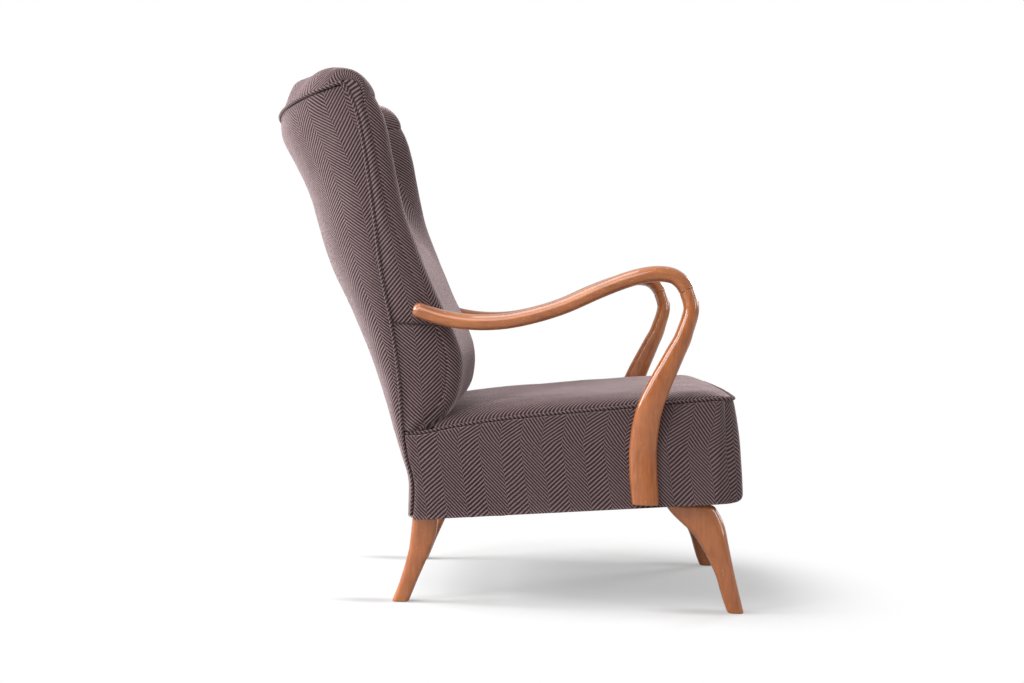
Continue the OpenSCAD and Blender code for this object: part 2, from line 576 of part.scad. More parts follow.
// A sabre leg between the floor and the underside of the frame
module leg(front, top_x, foot_x, top_t, top_z) {
    edge = front ? front_edge_shares : rear_edge_shares;
    lengths = front ? front_length_shares : rear_length_shares;
    foot_l = front ? front_foot_l : rear_foot_l;
    top_l = front ? front_leg_top : rear_leg_top;
    function ring(t) = let(
            h = min(1, max(0, t)),
            l = mix(foot_l, top_l, curve_at(lengths, h)),
            ahead = front_leg_y - front_leg_top / 2 - front_sweep * (1 - curve_at(edge, h)),
            behind = rear_leg_y + rear_leg_top / 2 + rear_sweep * (1 - curve_at(edge, h)),
            y = front ? ahead + l / 2 : behind - l / 2)
        section([mix(foot_x, top_x, h), y, top_z * t], [1, 0, 0], [0, 1, 0], mix(foot_t, top_t, h),
            l, 12, 0.6);
    color(wood) difference() {
        loft([for (t = leg_ring_shares) ring(t)]);
        translate([-big, -big, -big]) cube([2 * big, 2 * big, big]);
        slab(0, rail_h);
        leg_bolt(top_x, front ? front_leg_y : rear_leg_y, play);
    }
}
front_leg_x = front_track / 2;
rear_leg_x = post_out - post_t / 2;
module front_leg(left) { chair() side(left) leg(true, front_leg_x, front_leg_x, leg_top_t, under_front_h); }
module rear_leg(left) { chair() side(left) leg(false, rear_leg_x, rear_track / 2, post_t, under_rear_h); }
module front_leg_left() { front_leg(true); }
module front_leg_right() { front_leg(false); }
module rear_leg_left() { rear_leg(true); }
module rear_leg_right() { rear_leg(false); }

// A threaded pin that holds a leg to the frame above it
module leg_bolt(x, y, gap = 0) {
    translate([x, y, under_z(y) - grip - gap]) cylinder(h = 2 * (grip + gap), d = bolt_d + 2 * gap, $fn = 24);
}
module leg_bolts() {
    color(steel) chair() both() {
        leg_bolt(front_leg_x, front_leg_y);
        leg_bolt(rear_leg_x, rear_leg_y);
    }
}

// Seat rails, seen from above: outer faces lie inside the covers and the side padding
rail_inset = cover_t + edge_pad;
front_rail_y = rail_inset - seat_lean / 4;
front_rail_end = front_rail_y + rail_t;
post_foot_y = post_front_y(0);
module side_rail_plan() {
    polygon([[seat_half(front_rail_end) - rail_inset, front_rail_end],
        [seat_half(post_foot_y) - rail_inset, post_foot_y],
        [seat_half(post_foot_y) - rail_inset - rail_t, post_foot_y],
        [seat_half(front_rail_end) - rail_inset - rail_t, front_rail_end]]);
}
module front_rail_plan() {
    half = seat_half(front_rail_end) - rail_inset;
    cut = seat_corner_r / 2;
    polygon([[cut - half, front_rail_y], [half - cut, front_rail_y], [half, front_rail_y + cut],
        [half, front_rail_end], [-half, front_rail_end], [-half, front_rail_y + cut]]);
}
module seat_side_rail(left) {
    color(beech) chair() side(left) difference() {
        prism(0, rail_h) side_rail_plan();
        support_bolt_holes(play);
        leg_bolt(front_leg_x, front_leg_y, play);
        seat_dowel_set(play);
    }
}
module seat_side_rail_left() { seat_side_rail(true); }
module seat_side_rail_right() { seat_side_rail(false); }
module seat_front_rail() {
    color(beech) chair() difference() {
        prism(0, rail_h) front_rail_plan();
        both() seat_dowel_set(play);
    }
}
module seat_rear_rail() {
    color(beech) chair() difference() {
        bent_rail(0, rear_rail_high);
        slab(-rail_h, 0);
        both() rear_dowel_set(play);
    }
}

// Dowels: two at each end of a seat rail, along it
dowel_shares = [0.46, 0.8];
module seat_dowel_set(gap = 0) {
    for (y = [front_rail_end, post_foot_y], g = dowel_shares)
        dowel([seat_half(y) - rail_inset - rail_t / 2, y, under_z(y) + rail_h * g], [0, 1, 0], gap);
}
rear_dowel_y = seam_y(0) + (rail_rear(0, post_in) + rail_front(0, post_in)) / 2;
module rear_dowel_set(gap = 0) {
    for (g = dowel_shares) dowel([post_in, rear_dowel_y, under_rear_h + rail_h * g], [1, 0, 0], gap);
}
module seat_dowels() {
    color(beech) chair() both() {
        seat_dowel_set();
        rear_dowel_set();
    }
}

// Triangular blocks glued in the corners of the seat frame
block_low_share = 0.2;
block_high_share = 0.8;
block_depth_share = 0.7;
block_width_share = 0.75;
module seat_corner_blocks() {
    front_in = seat_half(front_rail_end) - rail_inset - rail_t;
    rear_y = seam_y(0) + rail_front(0, post_in) - touch;
    block_w = block_l * block_width_share;
    color(beech) chair() both() prism(rail_h * block_low_share, rail_h * block_high_share) {
        polygon([[front_in, front_rail_end], [front_in - block_l, front_rail_end],
            [seat_half(front_rail_end + block_l) - rail_inset - rail_t, front_rail_end + block_l]]);
        polygon([[post_in, rear_y], [post_in, rear_y - block_l * block_depth_share],
            [post_in - block_w, seam_y(0) + rail_front(0, post_in - block_w) - touch]]);
    }
}

// Webbing under the rails: cross straps that carry the springs, and long straps below them
long_strap_shares = [-0.75, -0.25, 0.25, 0.75];
spring_row_shares = [0.27, 0.5, 0.74];
spring_col_share = 0.62;
module seat_webbing() {
    color(jute) chair() {
        for (g = spring_row_shares) let(y = g * seat_depth, half = seat_half(y) - rail_inset)
            prism(-strap_t, 0) translate([-half, y - strap_w / 2]) square([2 * half, strap_w]);
        for (g = long_strap_shares) let(x = g * (post_in - strap_w / 2))
            prism(-2 * strap_t, -strap_t) translate([x - strap_w / 2, front_rail_y])
                square([strap_w, rear_strap_y - front_rail_y]);
    }
}
rear_strap_y = seam_y(0) + rail_rear(0, post_in);

// An unbroken spring: wide end turns and a narrower waist
spring_turns = 4;
spring_steps = 8;
waist_share = 0.62;
module spring() {
    n = spring_turns * spring_steps;
    points = [for (k = [0:n]) let(
            u = k / n,
            rise = blend(u),
            r = (spring_d - wire_d) / 2 * mix(waist_share, 1, pow(abs(2 * u - 1), 1.5)),
            a = 360 * k / spring_steps)
        [r * cos(a), r * sin(a), mix(wire_d / 2, spring_h - wire_d / 2, mix(u, rise, 0.5))]];
    tube(points, wire_d, 6);
}
module seat_springs() {
    x = spring_col_share * (post_in - spring_d / 2);
    color(steel) chair() on_underside()
        for (g = spring_row_shares, h = [-1, 0, 1])
            translate([h * 1.25 * x, (g * seat_depth - front_leg_y) / cos(under_tilt), touch]) spring();
}

// The sprung edge: a firm roll on the rails, as high as the springs
module seat_spring_edge() {
    color(foam) chair() prism(rail_h + touch, hessian_top - strap_t - touch) {
        front_rail_plan();
        both() translate([0, touch]) side_rail_plan();
    }
}
module seat_hessian() {
    front = front_rail_y + strap_t;
    half_front = seat_half(front) - rail_inset - touch;
    half_rear = seat_half(seat_end_y) - rail_inset - touch;
    cut = seat_corner_r / 2;
    color(jute) chair() prism(hessian_top - strap_t, hessian_top)
        polygon([[cut - half_front, front], [half_front - cut, front], [half_front, front + cut],
            [half_rear, seat_end_y - touch], [-half_rear, seat_end_y - touch], [-half_front, front + cut]]);
}
module dust_cover() {
    half = seat_half(front_rail_y) - rail_inset;
    notch_x = front_leg_x - leg_top_t / 2 - 2 * touch;
    notch_front = front_leg_y - front_leg_top / 2 - 2 * touch;
    notch_rear = front_leg_y + front_leg_top / 2 + 2 * touch;
    rear_x = rear_leg_x - post_t / 2 - 2 * touch;
    low = -2 * strap_t - touch;
    rear_front = min(post_foot_y, rear_leg_y - rear_leg_top / 2) - 2 * touch;
    right = [[half, front_rail_y], [half, notch_front], [notch_x, notch_front], [notch_x, notch_rear],
        [seat_half(notch_rear) - rail_inset, notch_rear],
        [seat_half(post_foot_y) - rail_inset, rear_front], [rear_x, rear_front],
        [rear_x, rear_strap_y]];
    color(black_cloth) chair() prism(low - strap_t / 2, low)
        polygon(concat(right, [for (k = [len(right) - 1:-1:0]) [-right[k][0], right[k][1]]]));
}

// Padding inside the boxing, up to the hessian
module seat_edge_pad() {
    rows = [0.06, 0.12, 0.35, 0.68, 1];
    grid = [for (g = rows) [for (p = rim) let(
            low = boxing_low(p),
            high = under_z(p[1]) + hessian_top / cos(under_tilt) - touch)
        boxing_point(p, mix(low, high, g))]];
    color(foam) chair() difference() {
        panel(moved(grid, -cover_t - 3 * touch), moved(grid, touch - rail_inset));
        seat_end_cut();
        both() support_bolt_holes(play);
    }
}
module seat_end_cut() {
    translate([-big, seat_depth - touch, 0]) cube([2 * big, big, big]);
}
module seat_pad() {
    gap = cover_t * slant_share + touch;
    top = seat_grid(gap, gap);
    base = [for (row = top) [for (p = row)
        [p[0], p[1], under_z(p[1]) + (hessian_top + touch) / cos(under_tilt)]]];
    color(foam) chair() panel(base, top);
}
module seat_top_cover() {
    color(cloth) chair() panel(seat_grid(cover_t * slant_share, cover_t * slant_share), seat_grid(0, 0));
}
module seat_boxing() {
    color(cloth) chair() difference() {
        panel(boxing_grid, moved(boxing_grid, -cover_t));
        both() support_bolt_holes(play);
    }
}
piping_out = piping_d / 2 - cover_t;
module seat_piping() {
    path = [for (k = [0:len(rim) - 1]) let(
            z = side_top(rim[k][1]),
            p = [rim[k][0], min(rim[k][1], seam_y(share_at(z)) - channel), z],
            a = rim[max(0, k - 1)],
            b = rim[min(len(rim) - 1, k + 1)],
            out = unit([b[1] - a[1], a[0] - b[0], 0]))
        p - piping_out * out];
    color(cloth) chair() tube(path, piping_d, 6);
}

// Posts, seen from the side, stand on the rear legs and run up to the carcass top
post_low_shares = [0, 0.1, 0.15, 0.2, 0.22];
module back_post(left) {
    rows = concat(post_low_shares, [for (z = lining_z) share_at(z)]);
    outline = concat([[post_foot_y, under_rear_h - rail_h]],
        [for (s = rows) [post_front_y(s), seam_z(s)]],
        [for (k = [len(rows) - 1:-1:0]) let(s = rows[k], d = post_rear(s))
            [seam_y(s) + d, seam_z(s) - d * fall(s)]],
        [[seam_y(0) + post_rear(0), under_rear_h - rail_h]]);
    color(beech) chair() side(left) difference() {
        translate([post_in, 0, 0]) rotate([90, 0, 90]) linear_extrude(height = post_t) polygon(outline);
        slab(-2 * rail_h, 0);
        arm_bolt_hole(play);
        leg_bolt(rear_leg_x, rear_leg_y, play);
        seat_dowel_set(play);
        rear_dowel_set(play);
        back_dowel_set(play);
    }
}
module back_post_left() { back_post(true); }
module back_post_right() { back_post(false); }

module back_top_rail() {
    color(beech) chair() difference() {
        bent_rail(top_rail_low, carcass_top);
        both() back_dowel_set(play);
    }
}
module back_arm_rail() {
    color(beech) chair() difference() {
        translate([-post_in, arm_rail_y, seam_z(arm_rail_s) - back_rail_h / 2])
            cube([2 * post_in, rail_t, back_rail_h]);
        both() back_dowel_set(play);
    }
}
top_grip_share = 0.4;
module back_dowel_set(gap = 0) {
    top_s = (top_rail_low + carcass_top) / 2;
    d = (post_rear(top_s) + rail_front(top_s, post_in)) / 2;
    for (g = [-1, 1]) {
        dowel([post_in, arm_rail_y + rail_t / 2, seam_z(arm_rail_s) + g * back_rail_h / 4], [1, 0, 0], gap);
        dowel(rail_point(top_s + g * back_rail_h / 4 / back_h, post_in, d), [1, 0, 0], gap,
            grip * top_grip_share);
    }
}
module back_dowels() {
    color(beech) chair() both() back_dowel_set();
}

// Four upright straps over the faces of the three rails
hessian_gap = strap_t + 3 * touch;
pad_gap = hessian_gap + strap_t + 3 * touch;
web_half = post_in - 2 * touch;
upper_web = [3, 3 + 1 / 6, 3 + 2 / 6, 3.5, 3 + 4 / 6, 3 + 5 / 6, 4, 5];
function web_sheet(rows, shares, half, ahead) = [for (r = rows) [for (h = shares)
    web_point(r, h * half, ahead)]];
module back_webbing() {
    rows = concat([0, 1, 2], upper_web);
    color(jute) chair() for (h = two_sided(concat([0], back_strap_shares))) if (h != 0) {
        edges = [h - strap_half, h, h + strap_half];
        panel(web_sheet(rows, edges, post_in, touch), web_sheet(rows, edges, post_in, touch + strap_t));
    }
}
module back_hessian() {
    rows = concat([1, 1.5, 2], upper_web);
    at = two_sided(web_cols);
    color(jute) chair() panel(web_sheet(rows, at, web_half, hessian_gap),
        web_sheet(rows, at, web_half, hessian_gap + strap_t));
}

// The stuffing of the back: it fills the space between its cover, the hessian and the posts
function web_row(low, x) = 1 + (low - level_z(1, x)) / (level_z(2, x) - level_z(1, x));
function pad_row(i, first) = i < 4 ? mix(first, 2, i / 4) : i < 5 ? 2 : upper_web[i - 5];
function low_edge(c) = low_z(c) + channel;
edge_share = 0.95;
lining_z = [for (i = [0:split - 1]) let(r = pad_row(i, web_row(low_edge(1), post_in)))
    i == split - 1 ? seam_z(carcass_top) : web_point(r, post_in, 0)[2]];
function over_carcass(x, y) = [x, y, seam_z(carcass_top) - (y - seam_y(carcass_top)) * fall(carcass_top)
    + 2 * touch];
function pad_back(j, i) = let(
        c = cols[j],
        k = abs(j - len(col_shares) + 1),
        last = len(web_cols) - 1,
        x = sign(c) * web_half * web_cols[min(k, last)],
        row = pad_row(i, web_row(low_edge(c), x)),
        p = mix(web_point(row, x, pad_gap),
            web_point(row, sign(c) * web_half * web_cols[last - 1], pad_gap), k < last ? 0 : 1 - edge_share),
        z = lining_z[i],
        wide = half_w(share_at(z)) - cover_t - touch - (i < split - 1 ? 2 : 9) * overrun,
        q = [sign(c) * mix(web_half, wide, (abs(c) - 1) / (nose_end - 1)),
            post_front_y(share_at(z)) - touch, z],
        r = k < last || (k == last && i > 0) ? p : k == last ? [p[0], q[1], z] : q)
    i == split - 1 ? over_carcass(r[0], r[1]) : r;
function pad_top(j, h) = let(
        c = cols[j],
        p = pad_back(j, split - 1),
        e = top_seam(c) - 2 * piping_d * seam_out(c))
    over_carcass(mix(p[0], e[0], h), mix(p[1], e[1], h));
pad_depth_shares = [0.15, 0.32, 0.5, 0.68, 0.85];
function narrowed(p) = let(wide = half_w(share_at(p[2])) - cover_t - touch)
    [sign(p[0]) * min(wide, abs(p[0])), p[1], p[2]];
module back_pad() {
    whole = body_inside(cover_t + touch);
    skin = [for (i = [0:len(whole) - 2]) [for (p = whole[i]) narrowed(p)]];
    lining = concat([for (i = [0:split - 1]) [for (j = [0:len(cols) - 1]) pad_back(j, i)]],
        [for (h = pad_depth_shares) [for (j = [0:len(cols) - 1]) pad_top(j, h)]]);
    color(foam) chair() difference() {
        panel(lining, skin);
        both() arm_bolt_hole(play);
    }
}
body_lining = body_inside(cover_t);
module inside_back_cover() {
    color(cloth) chair() panel([for (i = [0:split - 1]) body_lining[i]],
        [for (i = [0:split - 1]) body_grid[i]]);
}
module top_border() {
    last = len(body_grid) - 1;
    color(cloth) chair() panel([for (i = [split - 1:last]) body_lining[i]],
        [for (i = [split - 1:last]) body_grid[i]]);
}

// Side covers of the back, from the wing's outside edge to the side seam
swell_shares = [0, 0.25, 0.5, 0.75, 1];
function side_point(front, rear, q, swell) = mix(front, rear, q) + [swell * 4 * q * (1 - q), 0, 0];
function seam_edge(z) = let(s = share_at(z)) [half_w(s), seam_y(s) - channel, z];
edge_rows = [for (g = front_row_shares) front_point(nose_end, g)[2]];
upper_rows = concat([wing_seam_h + touch], [for (z = edge_rows) if (z > wing_seam_h + edge_pad) z]);
lower_rows = concat([for (z = edge_rows) if (z < wing_seam_h - edge_pad) z], [wing_seam_h - touch]);
side_grid_upper = [for (z = upper_rows) let(
        s = share_at(z),
        front = [half_w(s), inside_y(s, nose_end) + 4 * touch, z])
    [for (q = swell_shares) side_point(front, seam_edge(z), q, border_swell)]];
side_grid_corner = [for (k = [0:2]) let(v = roll_row_shares[k], p = roll_point(nose_end, v))
    [for (q = swell_shares) side_point([half_w(share_at(p[2])), p[1] + 9 * touch, p[2] - 3 * touch],
        seam_edge(p[2] - 3 * touch), q, border_swell * (1 - 2 * v))]];
side_grid_lower = [for (z = lower_rows) let(
        g = (z - lower_rows[0]) / (wing_seam_h - lower_rows[0]),
        rear_z = mix(seat_rear_h + 1.7 * channel, z, min(1, 2 * g)),
        s = share_at(z),
        front = [half_w(s), inside_y(s, nose_end) + 6 * touch, z])
    [for (q = swell_shares) side_point(front, seam_edge(rear_z), q, border_swell / 2)]];
function slimmed(grid, d) = [for (row = grid) [for (p = row) [p[0] - d, p[1], p[2]]]];
module wing_border(left) {
    color(cloth) chair() side(left) difference() {
        panel(slimmed(concat(side_grid_upper, side_grid_corner), cover_t),
            concat(side_grid_upper, side_grid_corner));
        arm_bolt_hole(play);
    }
}
module wing_border_left() { wing_border(true); }
module wing_border_right() { wing_border(false); }
module lumbar_side(left) {
    color(cloth) chair() side(left) panel(slimmed(side_grid_lower, cover_t), side_grid_lower);
}
module lumbar_side_left() { lumbar_side(true); }
module lumbar_side_right() { lumbar_side(false); }

// Padding between a post and its side covers
module back_side_pad(left) {
    grid = [for (i = [0:split - 3]) let(s = share_at(lining_z[i]))
        [for (q = [0, 1]) [half_w(s) - cover_t - touch,
            mix(post_front_y(s) + touch, seam_y(s) - channel, q), seam_z(s)]]];
    color(foam) chair() side(left) difference() {
        panel([for (row = grid) [for (p = row) [post_out + touch, p[1], p[2]]]], grid);
        arm_bolt_hole(play);
    }
}
module back_side_pad_left() { back_side_pad(true); }
module back_side_pad_right() { back_side_pad(false); }

outside_row_shares = [0, 0.1, 0.2, 0.32, 0.45, 0.56, 0.68, 0.78, 0.88, 0.95, 1];
module outside_back_cover() {
    grid = [for (g = outside_row_shares) let(
            s = g * (1 - channel / back_h),
            start = asin(pow(min(1, (channel + touch) / bow(s)), 1 / plan_share)))
        [for (c = cols) let(p = outside_point(s, mix(start, 90, seam_angle(c) / 90)))
            [sign(c) * p[0], p[1], p[2]]]];
    color(cloth) chair() panel(grid, moved(grid, -cover_t));
}

// One length of piping up each side seam and across the top seam
module back_piping() {
    up = [for (g = [0.005, 0.08, 0.14, 0.2, 0.32, 0.45, 0.56, 0.7, 0.86, 0.94, 0.985]) let(
            s = g)
        [half_w(s) + piping_out, seam_y(s), seam_z(s)]];
    out = [for (c = concat([nose_end, 1.25], [for (k = [len(col_shares) - 2:-1:0]) col_shares[k]]))
        top_seam(c) + piping_out * seam_out(c)];
    half = concat(up, out);
    path = concat(half, [for (k = [len(half) - 2:-1:0]) [-half[k][0], half[k][1], half[k][2]]]);
    color(cloth) chair() tube(path, piping_d, 6, [1, 0.3, 1]);
}

// Covered buttons, seated in the pulls of the padding
button_t_share = 0.6;
button_lift_share = 0.135;
module back_buttons() {
    s = share_at(button_h);
    e = tuft_r / back_h;
    slope = (inside_y(s + e, 0) - inside_y(s - e, 0)) / (2 * tuft_r);
    dome = [for (a = [0:10:90]) button_d / 2 * [cos(a), button_t_share * sin(a)]];
    color(cloth) chair() for (b = button_cols)
        translate([inside_x(s, b), inside_y(s, b), button_h]) rotate([90 - atan(slope), 0, 0])
            translate([0, 0, button_d * button_lift_share])
                rotate_extrude($fn = 32) polygon(concat([[0, 0]], dome));
}

armrest_left();
armrest_right();
arm_support_left();
arm_support_right();
arm_dowels();
arm_bolts();
front_leg_left();
front_leg_right();
rear_leg_left();
rear_leg_right();
leg_bolts();
seat_front_rail();
seat_rear_rail();
seat_side_rail_left();
seat_side_rail_right();
seat_corner_blocks();
seat_dowels();
seat_webbing();
seat_springs();
seat_hessian();
seat_spring_edge();
seat_edge_pad();
seat_pad();
seat_top_cover();
seat_boxing();
seat_piping();
dust_cover();
back_post_left();
back_post_right();
back_top_rail();
back_arm_rail();
back_dowels();
back_webbing();
back_hessian();
back_pad();
back_side_pad_left();
back_side_pad_right();
inside_back_cover();
wing_border_left();
wing_border_right();
lumbar_side_left();
lumbar_side_right();
top_border();
outside_back_cover();
back_piping();
back_buttons();
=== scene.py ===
import bpy
import math
from mathutils import Matrix, Vector, noise


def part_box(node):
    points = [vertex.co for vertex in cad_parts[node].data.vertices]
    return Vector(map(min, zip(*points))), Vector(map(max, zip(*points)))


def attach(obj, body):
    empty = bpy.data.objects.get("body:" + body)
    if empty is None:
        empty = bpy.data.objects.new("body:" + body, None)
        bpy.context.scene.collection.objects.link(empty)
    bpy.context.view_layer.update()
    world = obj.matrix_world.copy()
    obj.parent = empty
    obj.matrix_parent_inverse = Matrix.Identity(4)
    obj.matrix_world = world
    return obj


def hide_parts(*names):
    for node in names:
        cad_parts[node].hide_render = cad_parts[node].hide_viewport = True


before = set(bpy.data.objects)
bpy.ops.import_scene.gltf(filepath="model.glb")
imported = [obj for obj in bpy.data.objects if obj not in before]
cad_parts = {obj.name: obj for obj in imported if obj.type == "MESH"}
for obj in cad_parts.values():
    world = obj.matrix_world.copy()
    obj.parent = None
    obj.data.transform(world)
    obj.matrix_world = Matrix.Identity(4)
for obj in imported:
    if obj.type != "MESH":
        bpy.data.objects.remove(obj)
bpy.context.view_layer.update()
MM = 0.001


# Seat and back frame
# The frame of beech rails and two posts, glued and dowelled, carries everything else.
# It is raw wood, hidden under the covers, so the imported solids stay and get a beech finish.
class Wire:
    """One value in a material's nodes. A sum written on it adds a Math node."""

    def __init__(self, tree, socket=None):
        self.tree, self.socket = tree, socket

    def node(self, kind, sockets=None, out=0, **settings):
        n = self.tree.nodes.new(kind)
        for key, value in settings.items():
            setattr(n, key, value)
        for key, value in (sockets or {}).items():
            if isinstance(value, Wire):
                self.tree.links.new(value.socket, n.inputs[key])
            else:
                n.inputs[key].default_value = value
        return Wire(self.tree, n.outputs[out])

    def maths(self, operation, a, b=0.0):
        return self.node("ShaderNodeMath", {0: a, 1: b}, operation=operation)

    def __add__(self, other):
        return self.maths("ADD", self, other)

    def __sub__(self, other):
        return self.maths("SUBTRACT", self, other)

    def __rsub__(self, other):
        return self.maths("SUBTRACT", other, self)

    def __mul__(self, other):
        return self.maths("MULTIPLY", self, other)

    def __truediv__(self, other):
        return self.maths("DIVIDE", self, other)

    __radd__, __rmul__ = __add__, __mul__

    def wave(self):
        return self.maths("SINE", self)

    def between(self, low, high):
        return self.node("ShaderNodeMapRange", {0: self, 1: low, 2: high}, interpolation_type="SMOOTHSTEP")

    def blend(self, first, second):
        return self.node("ShaderNodeMix", {0: self, 6: first, 7: second}, out=2, data_type="RGBA")

    def noise_at(self, place, scale, detail=3.0, rough=0.5):
        return self.node("ShaderNodeTexNoise", {"Vector": place, "Scale": scale, "Detail": detail,
                                                "Roughness": rough})

    def coords(self, scale=(1, 1, 1), shift=(0, 0, 0), uv=False):
        where = self.node("ShaderNodeTexCoord", out=2 if uv else 3)
        return self.node("ShaderNodeMapping", {0: where, 1: shift, 3: scale})

    def along(self, axis, uv=False):
        """One of the coordinates: 0 across, 1 along or deep, 2 up."""
        return self.node("ShaderNodeSeparateXYZ", {0: self.coords(uv=uv)}, out=axis)


def tint(r, g, b):
    """A colour written as in the photograph, 0 to 255."""
    def lin(v):
        v /= 255
        return v / 12.92 if v <= 0.04045 else ((v + 0.055) / 1.055) ** 2.4
    return (lin(r), lin(g), lin(b), 1.0)


def finish(name, **constants):
    m = bpy.data.materials.new(name)
    m.use_nodes = True
    shader = m.node_tree.nodes["Principled BSDF"]
    for key, value in constants.items():
        shader.inputs[key.replace("_", " ")].default_value = value
    return m, shader, Wire(m.node_tree)


def feed(shader, wire, **links):
    for key, value in links.items():
        wire.tree.links.new(value.socket, shader.inputs[key.replace("_", " ")])


def relief(wire, height, strength, distance):
    return wire.node("ShaderNodeBump", {"Strength": strength, "Distance": distance, "Height": height})


def dress(material, *names):
    for name in names:
        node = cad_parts[name]
        node.data.materials.clear()
        node.data.materials.append(material)


# Rough-planed and without lacquer: long streaks and short darker flecks
planed = (4, 30, 30)
beech, shader, w = finish("beech", Roughness=0.6, Specular_IOR_Level=0.5)
streaks = w.noise_at(w.coords(planed), 7.0, 8.0, 0.62)
broad = w.noise_at(w.coords([v * 0.3 for v in planed]), 5.0, 3.0, 0.5)
fleck = w.noise_at(w.coords([v * 2.2 for v in planed]), 26.0, 2.0, 0.4)
colour = (streaks * 0.6 + broad * 0.4).between(0.32, 0.68).blend(tint(188, 152, 108), tint(222, 190, 146))
colour = (fleck.between(0.6, 0.72) * 0.4).blend(colour, tint(160, 120, 80))
feed(shader, w, Base_Color=colour, Normal=relief(w, streaks, 0.08, 0.0006))
dress(beech, "seat_front_rail", "seat_rear_rail", "seat_side_rail_left", "seat_side_rail_right",
      "seat_corner_blocks", "seat_dowels", "back_post_left", "back_post_right", "back_top_rail",
      "back_arm_rail", "back_dowels", "arm_dowels")


# Legs
# Four sabre legs of solid beech, sawn to shape, rounded over and stained orange-brown under lacquer.
# Each is bolted up into the corner of the seat frame, and its foot is cut level with the floor.
def curve_at(table, t):
    """Value of a smooth curve through a table of (place, value) rows."""
    i = 0
    while i < len(table) - 2 and t >= table[i + 1][0]:
        i += 1
    (t0, v0), (t1, v1) = table[i], table[i + 1]
    h = t1 - t0
    u = min(1.0, max(0.0, (t - t0) / h))

    def tangent(k):
        a, b = table[max(0, k - 1)], table[min(len(table) - 1, k + 1)]
        return (b[1] - a[1]) / (b[0] - a[0])
    rise = u * u * (3 - 2 * u)
    return (v0 * (1 - rise) + v1 * rise
            + h * (tangent(i) * u * (1 - u) ** 2 - tangent(i + 1) * u * u * (1 - u)))


def mix(a, b, t):
    return a + (b - a) * t


def smooth(t):
    t = min(1.0, max(0.0, t))
    return t * t * (3 - 2 * t)


# All sizes are in millimetres. y runs back from the seat's front edge, and z up from the floor
seat_depth, side_rake, back_bow, bow_top_share = 589, 118, 142, 1.02
front_leg_y, rear_leg_y = seat_depth * 0.127, seat_depth * 0.927
front_leg_l, front_foot_l, front_leg_t, front_foot_t, front_sweep = 88, 29, 42, 28, 62
rear_leg_l, rear_foot_l, rear_leg_t, rear_sweep = 46, 31, 28, 35
piping_d, cover_t, edge_pad = 8, 3, 14
frame_inset = cover_t + edge_pad
toe_y = front_leg_y - front_leg_l / 2 - front_sweep
heel_y = rear_leg_y + rear_leg_l / 2 + rear_sweep
mid_y = (toe_y + seat_depth + side_rake + back_bow * bow_top_share + piping_d - cover_t) / 2
under_front_h, under_rear_h = 197, 158
under_slope = (under_front_h - under_rear_h) / (rear_leg_y - front_leg_y)


def under_z(y):
    return under_front_h - (y - front_leg_y) * under_slope


def placed(p, side=1):
    """A point in the chair's own millimetres, as a place in the scene."""
    return Vector((side * p[0], p[1] - mid_y, p[2])) * MM


def nothing_selected():
    bpy.ops.object.select_all(action="DESELECT")


def edit_whole():
    bpy.ops.object.mode_set(mode="EDIT")
    bpy.ops.mesh.select_all(action="SELECT")


def shaped_along(name, rings, corner=0.32, segments=3):
    """A rounded bar: one face is set at the first ring, then drawn out, turned and sized ring by ring.
    Each ring is (centre, turn about X, width, depth)."""
    nothing_selected()
    centre, turn, width, depth = rings[0]
    bpy.ops.mesh.primitive_plane_add(size=1, location=centre)
    bar = bpy.context.object
    bar.name = name
    bpy.ops.object.transform_apply(location=True, rotation=False, scale=False)
    edit_whole()
    bpy.ops.transform.resize(value=(width, depth, 1), center_override=centre)
    bpy.ops.mesh.bevel(offset_type="PERCENT", offset_pct=corner * 100, segments=segments,
                       profile=0.5, affect="VERTICES")
    bpy.ops.transform.rotate(value=-turn, orient_axis="X", center_override=centre)
    for place, tilt, wide, deep in rings[1:]:
        bpy.ops.mesh.extrude_region_move(TRANSFORM_OT_translate={"value": (0, 0, 0)})
        bpy.ops.transform.rotate(value=turn, orient_axis="X", center_override=centre)
        bpy.ops.transform.resize(value=(wide / width, deep / depth, 1), center_override=centre)
        bpy.ops.transform.rotate(value=-tilt, orient_axis="X", center_override=centre)
        bpy.ops.transform.translate(value=place - centre)
        centre, turn, width, depth = place, tilt, wide, deep
    bpy.ops.mesh.select_all(action="SELECT")
    bpy.ops.mesh.normals_make_consistent(inside=False)
    bpy.ops.object.mode_set(mode="OBJECT")
    return bar


def rounded_off(bar, slot, *nodes):
    """Smooths a bar and lets it stand for its CAD nodes."""
    soften = bar.modifiers.new("soften", "SUBSURF")
    soften.levels = soften.render_levels = 2
    bpy.context.view_layer.objects.active = bar
    bpy.ops.object.modifier_apply(modifier="soften")
    bar.select_set(True)
    bpy.ops.object.shade_smooth()
    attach(bar, "root")
    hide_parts(*nodes)


